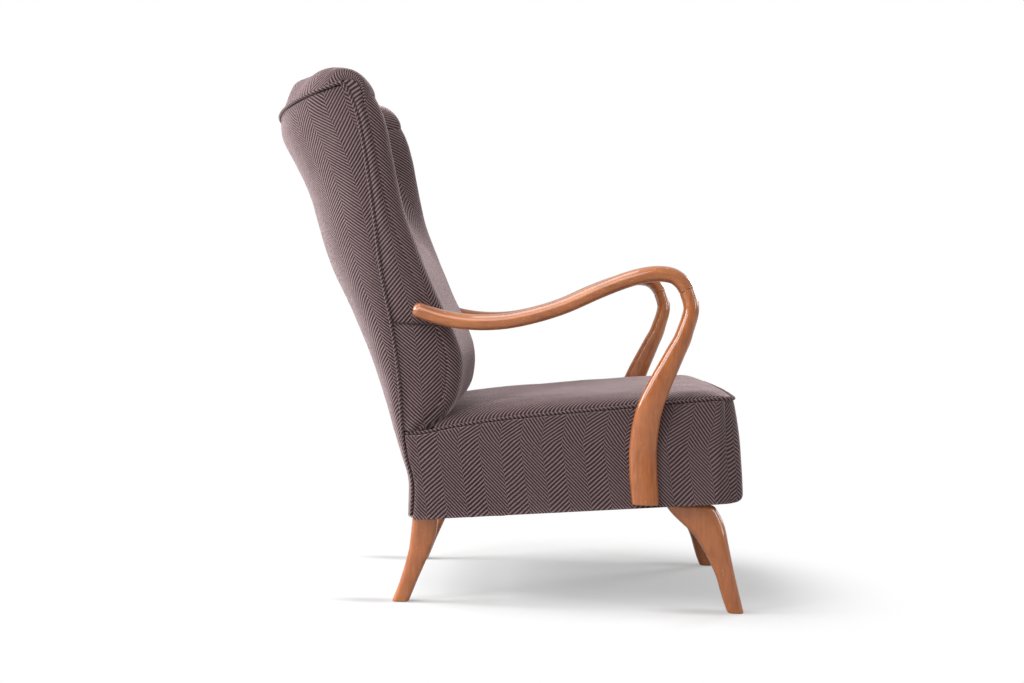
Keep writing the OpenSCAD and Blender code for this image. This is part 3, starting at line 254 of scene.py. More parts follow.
def show_wood(name, stretch, wear):
    """Stained beech under satin lacquer, with soft streaks, short dark flecks and pale nicks from use."""
    m, shader, w = finish(name, Specular_IOR_Level=0.3, Coat_Roughness=0.07, Coat_IOR=1.5)
    streaks = w.noise_at(w.coords(stretch), 6.0, 9.0, 0.6)
    broad = w.noise_at(w.coords([v * 0.35 for v in stretch], shift=(0.3, 0.1, 0.7)), 4.0, 3.0, 0.5)
    fleck = w.noise_at(w.coords([v * 2.6 for v in stretch]), 30.0, 2.0, 0.35)
    cloud = w.noise_at(w.coords(), 9.0, 3.0, 0.5)
    tone = (streaks * 0.5 + broad * 0.5).between(0.3, 0.7)
    colour = tone.blend(tint(132, 69, 29), tint(176, 101, 49))
    colour = (cloud.between(0.35, 0.75) * 0.4).blend(colour, tint(190, 116, 60))
    colour = (broad.between(0.5, 0.75) * 0.4).blend(colour, tint(124, 60, 27))
    colour = (fleck.between(0.6, 0.7) * 0.28).blend(colour, tint(112, 54, 24))
    chips = w.noise_at(w.coords([v * 0.5 for v in stretch], shift=(0.21, 0.4, 0.1)), 34.0, 2.0, 0.6)
    chips = chips.between(0.735 - wear, 0.75 - wear)
    colour = chips.blend(colour, tint(222, 178, 140))
    feed(shader, w, Base_Color=colour, Coat_Weight=1.0 - chips * 0.8,
         Roughness=streaks.between(0.2, 0.8) * 0.1 + 0.27 + chips * 0.2,
         Normal=relief(w, streaks * 0.5 + fleck * 0.3 - chips * 0.8, 0.015, 0.0008))
    return m


upright_wood = show_wood("show_wood_upright", (34, 34, 5), 0.0)

front_edge = ((0, 0), (0.25, 0.21), (0.43, 0.355), (0.63, 0.5), (0.8, 0.63), (0.906, 0.79), (1, 1))
front_length = ((0, 0), (0.06, 0.04), (0.18, 0.07), (0.335, 0.1), (0.54, 0.28), (0.707, 0.53),
                (0.817, 0.83), (0.906, 1), (1, 1))
rear_edge = ((0, 0), (0.17, 0.31), (0.385, 0.6), (0.6, 0.83), (0.83, 0.943), (1, 1))
rear_length = ((0, 0), (0.21, 0), (0.42, 0.27), (0.63, 0.67), (0.81, 1), (1, 1))
seat_front_w, seat_rear_w = 600, 568
front_leg_x, rear_foot_x = 267, 245
rear_leg_x = seat_rear_w / 2 - frame_inset - rear_leg_t / 2


def leg_ring(front, side, h, trim=1.0):
    """One level cut through a leg, at share h of its height."""
    length = curve_at(front_length if front else rear_length, h)
    swing = 1 - curve_at(front_edge if front else rear_edge, h)
    if front:
        length = mix(front_foot_l, front_leg_l, length)
        thick, top = mix(front_foot_t, front_leg_t, h), under_z(front_leg_y)
        x = front_leg_x
        y = front_leg_y - front_leg_l / 2 - front_sweep * swing + length / 2
    else:
        length = mix(rear_foot_l, rear_leg_l, length)
        thick, top = rear_leg_t, under_z(rear_leg_y)
        x = mix(rear_foot_x, rear_leg_x, h)
        y = rear_leg_y + rear_leg_l / 2 + rear_sweep * swing - length / 2
    return placed((x, y, h * top), side), 0.0, thick * trim * MM, length * trim * MM


leg_shares = [0.012] + [k / 22 for k in range(1, 22)] + [0.985]
for end in ("front", "rear"):
    front = end == "front"
    for side, hand in ((1, "left"), (-1, "right")):
        rings = [leg_ring(front, side, 0.0, 0.9), leg_ring(front, side, 0.006, 0.965)]
        rings += [leg_ring(front, side, h) for h in leg_shares]
        leg = shaped_along(end + "_sabre_leg_" + hand, rings)
        leg.data.materials.append(upright_wood)
        rounded_off(leg, "show_wood", end + "_leg_" + hand)
        # The sawn foot is flat on the floor
        for v in leg.data.vertices:
            if v.co.z < 0.0004:
                v.co.z = 0.0

# Threaded pins hold each leg to the frame above it
steel, shader, w = finish("steel", Metallic=1.0, Base_Color=tint(150, 150, 152))
feed(shader, w, Roughness=w.noise_at(w.coords(), 90.0).between(0.2, 0.8) * 0.25 + 0.25,
     Normal=relief(w, w.noise_at(w.coords(), 220.0), 0.1, 0.0004))
dress(steel, "leg_bolts", "arm_bolts", "seat_springs")


# Webbing and hessian
# Jute straps are tacked across the seat and the back, with unbroken coil springs on those of the seat.
# Hessian over the springs and over the back's straps carries the stuffing. All of it is hidden.
jute, shader, w = finish("jute", Roughness=0.9)
weave = (w.along(0) * 2600.0).wave() * (w.along(1) * 2600.0).wave()
feed(shader, w, Base_Color=weave.between(-0.6, 0.8).blend(tint(140, 112, 74), tint(194, 165, 120)),
     Normal=relief(w, weave, 0.5, 0.0008))
dress(jute, "seat_webbing", "seat_hessian", "back_webbing", "back_hessian")


# Stuffing inside the covers
# A firm roll edges the sprung seat, and pads lie under the boxing and beside the posts.
# They are closed in on all sides by covers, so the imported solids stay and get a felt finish.
felt, shader, w = finish("padding_felt", Roughness=0.95)
tuft = w.noise_at(w.coords(), 160.0, 5.0, 0.7)
feed(shader, w, Base_Color=tuft.between(0.3, 0.7).blend(tint(200, 188, 160), tint(234, 226, 204)),
     Normal=relief(w, tuft, 0.6, 0.002))
dress(felt, "seat_spring_edge", "seat_edge_pad", "back_side_pad_left", "back_side_pad_right")


# Seat cushion
# The seat's top panel is pulled over the sprung edge, crowned and rounded at the front.
# It is a wool herringbone, its stripes running from front to rear, sewn to the boxing over piping.
def herringbone(name, column, pitch):
    """Woven zigzag of a dark and a light yarn. Its columns run along the piece's V direction, and each is
    shifted half a line against the next, as in a broken twill."""
    m, shader, w = finish(name, Roughness=0.88, Specular_IOR_Level=0.2, Sheen_Weight=1.0,
                          Sheen_Roughness=0.3, Sheen_Tint=tint(236, 212, 214))
    slub = w.noise_at(w.coords(), 16.0, 2.0)
    u = w.along(0, uv=True) + (slub - 0.5) * 0.003
    v = w.along(1, uv=True) + (slub - 0.5) * 0.004
    # The whole columns and lines that are added keep every value above nought
    zigzag = w.maths("PINGPONG", u + 40 * column, column)
    odd = w.maths("FLOOR", (u + 40 * column) / column) * 0.5
    line = w.maths("FRACT", (v + zigzag * 0.98) / pitch + odd + 400)
    line = w.maths("PINGPONG", line, 0.5) * 2.0
    fuzz = w.noise_at(w.coords(), 900.0, 3.0, 0.7)
    grain = w.noise_at(w.coords(), 420.0, 2.0, 0.6)
    ply = ((v - zigzag * 1.02) * (2 * math.pi / 0.0021)).wave() * 0.5 + 0.5
    stripe = (line + (fuzz - 0.5) * 0.6).between(0.4, 0.74)
    dark = (grain * 0.7 + ply * 0.3).between(0.3, 0.7).blend(tint(26, 14, 17), tint(50, 34, 37))
    light = (grain * 0.6 + ply * 0.4).between(0.3, 0.7).blend(tint(98, 78, 81), tint(134, 114, 113))
    colour = stripe.blend(dark, light)
    worn = w.noise_at(w.coords(), 5.0, 3.0, 0.5)
    colour = (worn.between(0.3, 0.8) * 0.1).blend(colour, tint(124, 104, 105))
    feed(shader, w, Base_Color=colour,
         Normal=relief(w, stripe * 0.5 + ply * 0.2 + fuzz * 0.5, 0.55, 0.0011))
    return m


cloth_pitch = 0.0073
cloth = herringbone("cover_herringbone", 0.037, cloth_pitch)

seat_front_h, seat_rear_h, seat_crown, seat_bow, corner_r = 386, 307, 38, 6, 28
seat_end_share, channel, slant = 0.905, 4.3, 0.707
seat_end_y = seat_depth * seat_end_share
top_inset = piping_d / 2 - cover_t + channel * slant
welt = ((0, 0), (0.05, 0.015), (0.2, 0.145), (0.5, 0.41), (0.7, 0.605), (0.85, 0.805), (0.94, 0.965),
        (1, 1))
crown = ((0, 0), (0.02, 0.16), (0.055, 0.39), (0.085, 0.53), (0.13, 0.63), (0.22, 0.72), (0.45, 0.82),
         (0.7, 0.92), (0.85, 1), (1, 1))
back_h, back_top_w, lumbar_depth = 773, 584, 117
seam_table = ((0, -0.17), (0.08, -0.17), (0.14, -0.07), (0.2, 0), (0.32, 0.07), (0.45, 0.21),
              (0.56, 0.37), (0.7, 0.51), (0.86, 0.69), (0.94, 0.82), (1, 1))


def share_at(z):
    return (z - under_rear_h) / back_h


def seam_z(s):
    return under_rear_h + back_h * s


def seam_y(s):
    return seat_depth + side_rake * curve_at(seam_table, s)


def seat_half(y):
    return mix(seat_front_w, seat_rear_w, y / seat_depth) / 2


def side_top(y):
    return mix(seat_front_h, seat_rear_h, curve_at(welt, y / seat_depth))


def corner_inset(y):
    return 0 if y > corner_r else corner_r - math.sqrt(max(0, corner_r ** 2 - (corner_r - y) ** 2))


def seat_top_z(x, y):
    h = min(1, abs(x) / seat_half(y))
    return (side_top(y) + channel * slant
            + seat_crown * curve_at(crown, y / seat_depth) * (1 - h ** 4) ** 0.55)


def ripple(x, y, z, size, seed):
    """Slow unevenness of hand-laid stuffing, about -1 to 1."""
    return noise.noise(Vector((x / size, y / size, z / size + seed)))


def in_scene(name, data):
    thing = bpy.data.objects.new(name, data)
    bpy.context.scene.collection.objects.link(thing)
    return thing


def sewn_mesh(name, verts, faces, places, material):
    """A piece of the cover, with the cloth's place at each corner of each face, in metres."""
    mesh = bpy.data.meshes.new(name)
    mesh.from_pydata(verts, [], faces)
    layer = mesh.uv_layers.new(name="cloth")
    for corner, place in zip(layer.data, places):
        corner.uv = place
    mesh.validate()
    piece = in_scene(name, mesh)
    nothing_selected()
    piece.select_set(True)
    bpy.context.view_layer.objects.active = piece
    edit_whole()
    bpy.ops.mesh.normals_make_consistent(inside=False)
    bpy.ops.object.mode_set(mode="OBJECT")
    bpy.ops.object.shade_smooth()
    mesh.materials.append(material)
    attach(piece, "root")
    return piece


def closed_pad(name, grid):
    """A closed padded piece in the cover cloth. A place of the grid is (outer point, inner point, UV)."""
    rows, cols = len(grid), len(grid[0])
    count = rows * cols
    outer, inner, flat = zip(*[place for row in grid for place in row])

    def at(i, j):
        return i * cols + j
    faces = [(at(i, j), at(i, j + 1), at(i + 1, j + 1), at(i + 1, j))
             for i in range(rows - 1) for j in range(cols - 1)]
    faces += [tuple(k + count for k in reversed(f)) for f in faces[:]]
    rim = ([(at(0, j), at(0, j + 1)) for j in range(cols - 1)]
           + [(at(i, cols - 1), at(i + 1, cols - 1)) for i in range(rows - 1)]
           + [(at(rows - 1, j + 1), at(rows - 1, j)) for j in range(cols - 1)]
           + [(at(i + 1, 0), at(i, 0)) for i in range(rows - 1)])
    faces += [(a, a + count, b + count, b) for a, b in rim]
    return sewn_mesh(name, outer + inner, faces, [flat[v % count] for f in faces for v in f], cloth)


def spread(count, ease=1.0):
    """Places from -1 to 1, closer together at both ends."""
    out = []
    for k in range(count + 1):
        t = 2 * k / count - 1
        out.append(math.copysign(1 - (1 - abs(t)) ** ease, t))
    return out


def run_lengths(points):
    total, out = 0.0, [0.0]
    for a, b in zip(points, points[1:]):
        total += (Vector(b) - Vector(a)).length
        out.append(total)
    return out


seat_g = [seat_end_share * (k / 90) ** 1.7 for k in range(91)]
seat_h = spread(96, 1.9)
pad_foot = 127
grid = []
for g in seat_g:
    y = g * seat_depth
    row = []
    for h in seat_h:
        x = h * (seat_half(y) - corner_inset(y) - top_inset)
        forward = (top_inset - seat_bow * (1 - h * h)) * (1 - smooth(4 * g))
        edge = smooth((1 - abs(h)) * 9) * smooth(g * 14)
        z = seat_top_z(h * seat_half(y), y)
        z += edge * (1.6 * ripple(x, y, 0, 90, 3) + 0.7 * ripple(x, y, 0, 28, 8))
        # A slight hollow where the sitter rests
        z -= 3.0 * math.exp(-((x / 150) ** 2 + ((y - 330) / 120) ** 2))
        row.append((placed((x, y + forward, z)),
                    placed((x * 0.985, y + forward + 2 * (1 - g), under_z(y) + pad_foot)),
                    (x * MM, (y + 0.6 * (z - side_top(y)) * (1 if g < 0.2 else 0)) * MM)))
    grid.append(row)
cushion = closed_pad("seat_cushion_top", grid)
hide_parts("seat_top_cover", "seat_pad")


# Seat boxing
# One strip of the same herringbone, columns upright, goes round both sides and the front.
# It is stuffed, tacked under the rails, and its front leans out towards its foot and curls under.
def rim_points():
    """The seat's rim from the rear left corner to the rear right one: (x, y, how much it is front)."""
    straight = seat_depth - corner_r
    half = [(seat_half(y), y, 0.0) for y in [seat_depth - k * straight / 70 for k in range(70)]]
    x0 = seat_half(0) - corner_r
    for k in range(14):
        a = math.radians(90 * k / 14)
        half.append((x0 + corner_r * math.cos(a), corner_r * (1 - math.sin(a)), smooth(1.5 * k / 14)))
    half += [(x0 * (1 - k / 34), -seat_bow * (1 - (1 - k / 34) ** 2), 1.0) for k in range(35)]
    return half + [(-x, y, f) for x, y, f in reversed(half[:-1])]


rim = rim_points()
around = run_lengths([(x, y, 0) for x, y, f in rim])
middle = around[-1] / 2
front_half = seat_half(0)
front_lean, column_lean = 23, math.sin(math.radians(9.5))


def boxing_point(p, g, swell):
    """A point of the boxing at share g of its height, standing out by swell."""
    x, y, front = p
    low, high = under_z(y) - 3, side_top(y) - channel + 1.2
    z = mix(low, high, g)
    share = 1 - (z - low) / (seat_front_h - low)
    curl = corner_r * 0.5
    q = max(0.0, 1 - (z - low) / curl)
    depth = curl * (1 - math.sqrt(max(0.0, 1 - q * q)))
    y += front * (depth - front_lean * share)
    tuck = (1 - front) * 2.5 * max(0.0, 1 - (z - low) / 9) ** 2
    y -= front * swell
    # At the rear it stops short of the outside back's piping
    y = min(y, seam_y(share_at(z)) - channel - 0.3)
    return (x + math.copysign((1 - front) * swell - tuck, x), y, z)


box_g = [0.0, 0.008, 0.02, 0.04, 0.065] + [0.1 + 0.9 * k / 40 for k in range(41)]
grid = []
for g in box_g:
    row = []
    for p, run in zip(rim, around):
        belly = (2.6 + 2.4 * p[2]) * math.sin(math.pi * g ** 1.25) ** 0.7
        hem = max(0.0, 1 - g * 6) * ripple(run, 0, 0, 26, 5)
        swell = belly + 0.9 * ripple(run, g * 200, 0, 60, 1) * math.sin(math.pi * g) + 1.1 * hem
        x, y, z = boxing_point(p, g, swell)
        face = placed((x, y, z + 1.2 * hem))
        x, y, z = boxing_point(p, g, -9)
        # The strip was cut square to the sloping seat, so on the sides its columns lean with the seat
        past = max(0, abs(run - middle) - front_half) * column_lean
        lean_u = (1 - p[2]) * (z - 300) * column_lean
        row.append((face, placed((x, y, max(z, under_z(y) - 2))),
                    ((run - middle + math.copysign(lean_u, run - middle)) * MM, (z - 200 - past) * MM)))
    grid.append(row)
boxing = closed_pad("seat_boxing_panel", grid)
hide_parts("seat_boxing")


# Seat piping
# A cord wrapped in a bias-cut strip of the cover, sewn between the seat's top and its boxing.
# The cover's zigzag is cut across, so its stripes wind round the piping like a rope.
twist, shader, w = finish("piping_bias_strip", Roughness=0.88, Specular_IOR_Level=0.2, Sheen_Weight=0.35,
                          Sheen_Roughness=0.45, Sheen_Tint=tint(226, 206, 206))
fuzz = w.noise_at(w.coords(), 700.0, 3.0, 0.7)
wound = w.maths("FRACT", w.along(1, uv=True) / cloth_pitch + w.along(0, uv=True) * 2.0 + 200)
turns = w.maths("PINGPONG", wound, 0.5) * 2.0
turns = (turns + (fuzz - 0.5) * 0.6).between(0.4, 0.74)
feed(shader, w, Base_Color=turns.blend(tint(34, 20, 23), tint(112, 92, 94)),
     Normal=relief(w, turns * 0.4 + fuzz * 0.4, 0.4, 0.0009))


def piping(name, path, radius, *nodes):
    """A slightly uneven round cord along a list of points, closed at both ends."""
    sides = 12
    verts, faces, places = [], [], []
    lengths = run_lengths(path)
    for i, p in enumerate(path):
        way = (path[min(len(path) - 1, i + 1)] - path[max(0, i - 1)]).normalized()
        across = way.cross(Vector((0.08, 0.3, 0.95))).normalized()
        up = across.cross(way).normalized()
        r = radius * (1 + 0.035 * noise.noise(Vector((lengths[i] * 60, 0, 3))))
        for k in range(sides):
            a = 2 * math.pi * k / sides
            verts.append(p + r * (across * math.cos(a) + up * math.sin(a)))
    for i in range(len(path) - 1):
        for k in range(sides):
            n = (k + 1) % sides
            faces.append((i * sides + k, i * sides + n, (i + 1) * sides + n, (i + 1) * sides + k))
            places += [(k / sides, lengths[i]), ((k + 1) / sides, lengths[i]),
                       ((k + 1) / sides, lengths[i + 1]), (k / sides, lengths[i + 1])]
    faces += [tuple(range(sides)), tuple(range(len(verts) - 1, len(verts) - sides - 1, -1))]
    places += [(0, 0)] * (2 * sides)
    cord = sewn_mesh(name, verts, faces, places, twist)
    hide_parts(*nodes)


def even(path, step=0.003):
    """The same path with a point every few millimetres."""
    lengths = run_lengths(path)
    count = int(lengths[-1] / step)
    out, i = [], 0
    for k in range(count + 1):
        want = lengths[-1] * k / count
        while i < len(path) - 2 and lengths[i + 1] < want:
            i += 1
        t = (want - lengths[i]) / max(1e-9, lengths[i + 1] - lengths[i])
        out.append(path[i].lerp(path[i + 1], min(1, t)))
    return out


welt_line = []
for i, (x, y, front) in enumerate(rim):
    a, b = rim[max(0, i - 1)], rim[min(len(rim) - 1, i + 1)]
    out = Vector((b[1] - a[1], a[0] - b[0], 0)).normalized()
    z = side_top(y) + 0.5 * ripple(x, y, 0, 30, 2)
    y2 = min(y, seam_y(share_at(z)) - channel)
    welt_line.append(placed(Vector((x, y2, z)) - 1.2 * out))
piping("seat_piping_cord", even(welt_line), 3.4 * MM, "seat_piping")


# Dust cover
# Black cotton tacked under the seat frame, cut round the legs, closes the seat from below.
black_cloth, shader, w = finish("dust_cover_cotton", Roughness=0.92)
weave = (w.along(0) * 3600.0).wave() * (w.along(1) * 3600.0).wave()
feed(shader, w, Base_Color=weave.between(-0.8, 0.8).blend(tint(24, 23, 25), tint(46, 44, 47)),
     Normal=relief(w, weave, 0.4, 0.0005))
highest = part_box("dust_cover")[1]
sheet_gap = 4.3


def half_notch(size):
    """Half the cut round a leg of this size."""
    return size / 2 + 0.6


# Cut outline, from the front left corner round the legs' notches to the rear
front_y, back_y = frame_inset - front_lean / 4, seam_y(0) + 8
notch = (front_leg_y - half_notch(front_leg_l), front_leg_y + half_notch(front_leg_l))
notch_x, rear_notch_x = front_leg_x - half_notch(front_leg_t), rear_leg_x - half_notch(rear_leg_t)
rear_notch_y = rear_leg_y - half_notch(rear_leg_l)
left_half = [(seat_half(front_y) - frame_inset, front_y), (seat_half(front_y) - frame_inset, notch[0]),
             (notch_x, notch[0]), (notch_x, notch[1]), (seat_half(notch[1]) - frame_inset, notch[1]),
             (seat_half(seam_y(0) - 44) - frame_inset, rear_notch_y), (rear_notch_x, rear_notch_y),
             (rear_notch_x, back_y)]
outline = left_half + [(-x, y) for x, y in reversed(left_half)]
nothing_selected()
bpy.ops.mesh.primitive_circle_add(vertices=len(outline), radius=0.2, fill_type="NGON")
dust = bpy.context.object
dust.name = "dust_cover_sheet"
for v, (x, y) in zip(dust.data.vertices, outline):
    v.co = placed((x, min(y, highest.y / MM + mid_y), under_z(y) - sheet_gap))
edit_whole()
bpy.ops.mesh.quads_convert_to_tris()
bpy.ops.mesh.subdivide(number_cuts=5)
bpy.ops.object.mode_set(mode="OBJECT")
# It sags a little between the rails
for v in dust.data.vertices:
    x, y = v.co.x / MM, v.co.y / MM + mid_y
    sag = 5 * smooth((250 - abs(x)) / 120) * smooth(min(y - 20, 560 - y) / 120)
    v.co.z = (under_z(y) - sheet_gap - sag - 0.4 * ripple(x, y, 0, 40, 7)) * MM
thick = dust.modifiers.new("thick", "SOLIDIFY")
thick.thickness, thick.offset = 0.0008, 0
bpy.ops.object.modifier_apply(modifier="thick")
bpy.ops.object.shade_smooth()
dust.data.materials.append(black_cloth)
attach(dust, "root")
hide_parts("dust_cover")
area = 0.5 * abs(sum(a[0] * b[1] - b[0] * a[1] for a, b in zip(outline, outline[1:] + outline[:1]))) * 1e-6
sheet_w, sheet_l = [(max(row) - min(row)) * MM for row in zip(*outline)]


# Inside back
# The back's front panel: a full lumbar swelling, hollow above, with wings that wrap forward.
# Three covered buttons pull it in. It is stuffed and stretched from the seat to the top border.
bow_table = ((0, 0.1), (0.1, 0.11), (0.2, 0.2), (0.32, 0.39), (0.49, 0.64), (0.64, 0.84), (0.78, 0.935),
             (0.88, 1.062), (0.95, 1.12), (1, bow_top_share))
fall_table = ((0, 0), (0.5, 0.1), (0.8, 0.6), (1, 1))
nose_table = ((0, 0.45), (0.2, 0.45), (0.226, 0.6), (0.26, 0.8), (0.3, 0.92), (0.37, 1), (0.44, 0.92),
              (0.49, 0.83), (0.545, 0.74), (0.62, 0.6), (0.7, 0.47), (0.78, 0.42), (0.9, 0.395), (1, 0.335))
hollow_table = ((0, 0), (0.5, 0), (0.58, 0.01), (0.64, 0.07), (0.705, 0.22), (0.77, 0.42), (0.834, 0.68),
                (0.9, 0.9), (0.95, 1), (1, 1.08))
# Columns run from -1.3 to 1.3, and past 1 they turn round the wing's front edge
wing_depth, nose_r, nose_share, nose_end, wing_start, plan = 122, 26, 0.3, 1.3, 0.66, 0.784
top_roll, top_round, turn, middle_roll = 43, 50, 140, 0.52
button_h, tuft_depth, tuft_r, button_d = 700, 14, 42, 22
button_cols = (-0.5, 0, 0.5)
wing_seam = 504


# In what follows s is a share of the back's height and c a column across it
def half_w(s):
    return mix(seat_rear_w, back_top_w, s) / 2


def bow(s):
    """How far the outside back stands behind its side seams."""
    return back_bow * curve_at(bow_table, s)


def fall(s):
    """Slope of the outside back's levels towards the rear."""
    return math.tan(math.radians(20 * curve_at(fall_table, s)))


def nose_y(s):
    """Front of the wing's edge, and of the lumbar swelling below it."""
    return seam_y(s) - lumbar_depth * curve_at(nose_table, s)


def past_nose(c):
    """How far round the wing's front edge a column is, from 0 to 1."""
    return (abs(c) - 1) / nose_share


def inside_x(s, c):
    if abs(c) <= 1:
        return c * (half_w(s) - nose_r)
    return math.copysign(half_w(s) - nose_r + nose_r * math.sin(math.radians(90 * past_nose(c))), c)


def pull(s, c):
    """How far the nearest button pulls the back in."""
    reach = [math.hypot(inside_x(s, c) - inside_x(s, b), seam_z(s) - button_h) for b in button_cols]
    return tuft_depth * max(math.exp(-(d / tuft_r) ** 2) for d in reach)


def inside_y(s, c):
    u = abs(c)
    if u <= 1:
        hollow = wing_depth * max(0, curve_at(hollow_table, s))
        return nose_y(s) + hollow * (1 - smooth((u - wing_start) / (1 - wing_start))) + pull(s, c)
    return nose_y(s) + nose_r * (1 - math.cos(math.radians(90 * past_nose(c))))


def low_z(c):
    """Height where the inside back meets the seat, reached step by step."""
    z = side_top(seat_end_y) + seat_crown * (1 - min(1, c * c))
    for _ in range(8):
        s = share_at(z)
        z = mix(z, seat_top_z(inside_x(s, c), inside_y(s, c)), 0.5)
    return z + 1.8


def outside_point(s, a):
    """A place on the outside back, a degrees round from the side seam."""
    d = bow(s) * math.sin(math.radians(a)) ** plan
    x = half_w(s) * max(0, math.cos(math.radians(a))) ** plan
    return Vector((x, seam_y(s) + d, seam_z(s) - d * fall(s)))


def seam_angle(c):
    u = abs(c)
    return 90 - 55 * u if u <= 1 else 35 * max(0.0, 1 - past_nose(c)) ** 1.5


def top_seam(c):
    p = outside_point(1, seam_angle(c))
    return Vector((math.copysign(p.x, c), p.y, p.z))


def seam_out(c):
    a = math.radians(seam_angle(c))
    return Vector((math.copysign(math.cos(a) ** (2 - plan) / half_w(1), c),
                   math.sin(a) ** (2 - plan) / bow(1), 0)).normalized()


def border_end(c):
    return top_seam(c) + (channel + 0.6) * slant * (Vector((0, 0, 1)) - seam_out(c))


def crest_z(c):
    """Top of the padded roll, lower in the middle than at the wings."""
    return (seam_z(1) + channel - (top_seam(c).y - seam_y(1)) * math.tan(math.radians(10.6))
            + (top_roll - channel) * mix(middle_roll, 1, min(1, c * c))
            * (1 - max(0, past_nose(c)) ** 2))


def front_point(c, g):
    z = mix(low_z(c), crest_z(c) - top_round, g)
    s = share_at(z)
    return Vector((inside_x(s, c), inside_y(s, c), z))


def back_tension(p, c):
    """Creases that fan out from each button, and the uneven feel of stuffing under the cover."""
    out = 1.3 * ripple(p.x, p.y, p.z, 85, 11) + 0.6 * ripple(p.x, p.y, p.z, 30, 12)
    s = share_at(button_h)
    for b in button_cols:
        dx, dz = p.x - inside_x(s, b), p.z - button_h
        d = math.hypot(dx, dz)
        angle = math.atan2(dz, dx)
        close = math.exp(-(d / 15) ** 2)
        out += 1.5 * math.exp(-(d / 55) ** 2) * (1 - close) * math.cos(5 * angle + 2.4 * b)
        out -= 3.4 * close
    return out * (1 - smooth(past_nose(c)) * 0.7)


def cloth_v(z):
    """Place along the cloth of a height on the leaning back, in metres."""
    return (z - 300) * MM * 1.04


def back_panel(name, columns, reckon):
    """Part of the inside back between two columns. reckon gives the cloth's place across, in mm."""
    grid = []
    for g in [k / 130 for k in range(131)]:
        row = []
        for c in columns:
            p = front_point(c, g)
            edge = min(1.0, g * 14) * min(1.0, (1 - g) * 10)
            seam = math.exp(-((abs(c) - 1.0) / 0.012) ** 2)
            q = p + Vector((0, 1.2 * seam * edge - back_tension(p, c) * edge, 0))
            # The foot goes down behind the seat's top, so nothing is open between them
            q.z -= 7 * (1 - smooth(g * 130))
            row.append((placed(q), placed((p.x - 9 * c / nose_end, p.y + 24, q.z)),
                        (reckon(c, p) * MM, cloth_v(p.z))))
        grid.append(row)
    panel = closed_pad(name, grid)
    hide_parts("inside_back_cover", "back_pad")


middle_columns = spread(104, 1.25)
across_run = run_lengths([(inside_x(0.35, c), inside_y(0.35, c), 0) for c in middle_columns])


def from_middle(c, p):
    """Place across the cloth from the back's middle."""
    k = min(range(len(middle_columns)), key=lambda i: abs(middle_columns[i] - c))
    return across_run[k] - across_run[-1] / 2


def border_width(z):
    s = share_at(z)
    return seam_y(s) - channel - inside_y(s, nose_end)


def apex_shift(z):
    """On the wing one chevron spans the strip, and its apex runs up the middle."""
    return 74 - mix(37, 16, smooth((z - wing_seam) / 280)) if z > wing_seam else 0


def round_the_nose(c, p):
    """Place across the cloth of the edge band, from the side seam."""
    arc = nose_r * math.pi / 2 * (nose_end - abs(c)) / nose_share
    return math.copysign(border_width(p.z) + apex_shift(p.z) + arc, -c)


back_panel("inside_back_panel", middle_columns, from_middle)
band_columns = [1 + nose_share * k / 18 for k in range(19)]
back_panel("wing_edge_band_left", band_columns, round_the_nose)
back_panel("wing_edge_band_right", [-c for c in reversed(band_columns)], round_the_nose)


# Top border
# A stuffed strip rolls over the top of the back, down to the piping of the outside back.
# Its columns run over the roll from front to rear, and it is folded in a mitre at each top corner.
def roll_between(start, top, end, v):
    """A point at share v of a roll from start over the height top to end."""
    a = math.radians(turn * v)
    full = 1 - math.cos(math.radians(turn))
    h, crest = (1 - math.cos(a)) / full, 1 / full
    if turn * v <= 90:
        z = top - (top - start.z) * (1 - math.sin(a))
    else:
        z = top - (top - end.z) * ((h - crest) / (1 - crest)) ** 2.6
    return Vector((mix(start.x, end.x, h), mix(start.y, end.y, h), z))


columns = [c * nose_end for c in spread(132, 1.25)]
grid = []
along = run_lengths([tuple(border_end(c)) for c in columns])
for v in [k / 44 for k in range(45)]:
    row = []
    for c, run in zip(columns, along):
        start = front_point(c, 1)
        p = roll_between(start, crest_z(c), border_end(c), v)
        plump = math.sin(math.pi * v) * (1.2 * ripple(p.x, p.y, p.z, 60, 21))
        fold = 2.2 * math.exp(-((abs(c) - 1.12) / 0.018) ** 2) * smooth((v - 0.35) * 4)
        deep = start + Vector((-9 * c / nose_end, 12, 0))
        end = border_end(c) - 6 * slant * (Vector((0, 0, 1)) + seam_out(c))
        row.append((placed(p + Vector((0, 0, plump - fold))),
                    placed(roll_between(deep, crest_z(c) - 6, end, v)),
                    ((run - along[-1] / 2) * MM, v * 150 * MM)))
    grid.append(row)
border = closed_pad("top_border_roll", grid)
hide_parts("top_border")


# Wing borders and lumbar sides
# A side panel covers each wing from its front edge to the side seam, its columns running up it.
# Behind the armrest a cross seam joins it to the panel of the lumbar side below.
seam_tuck = 2.4


def side_row(z, rear_z, swell, q, extra):
    """A place at share q across a side panel, from height z in front to rear_z behind."""
    s = share_at(z)
    r = share_at(rear_z)
    front = Vector((half_w(s), inside_y(s, nose_end) + extra, z))
    rear = Vector((half_w(r), seam_y(r) - channel + seam_tuck, rear_z))
    p = front.lerp(rear, q)
    p.x += swell * 4 * q * (1 - q)
    return p


def corner_row(v, q):
    """A place on the wing's top corner, beside share v of the border's roll, and the height there."""
    roll = roll_between(front_point(nose_end, 1), crest_z(nose_end), border_end(nose_end), v)
    z = roll.z - 0.9
    s = share_at(z)
    front = Vector((half_w(share_at(roll.z)), roll.y + 2.7, z))
    p = front.lerp(Vector((half_w(s), seam_y(s) - channel + seam_tuck + 4 * min(v, 0.4), z)), q)
    p.x += 5 * (1 - 2 * v) * 4 * q * (1 - q)
    return p, roll.z


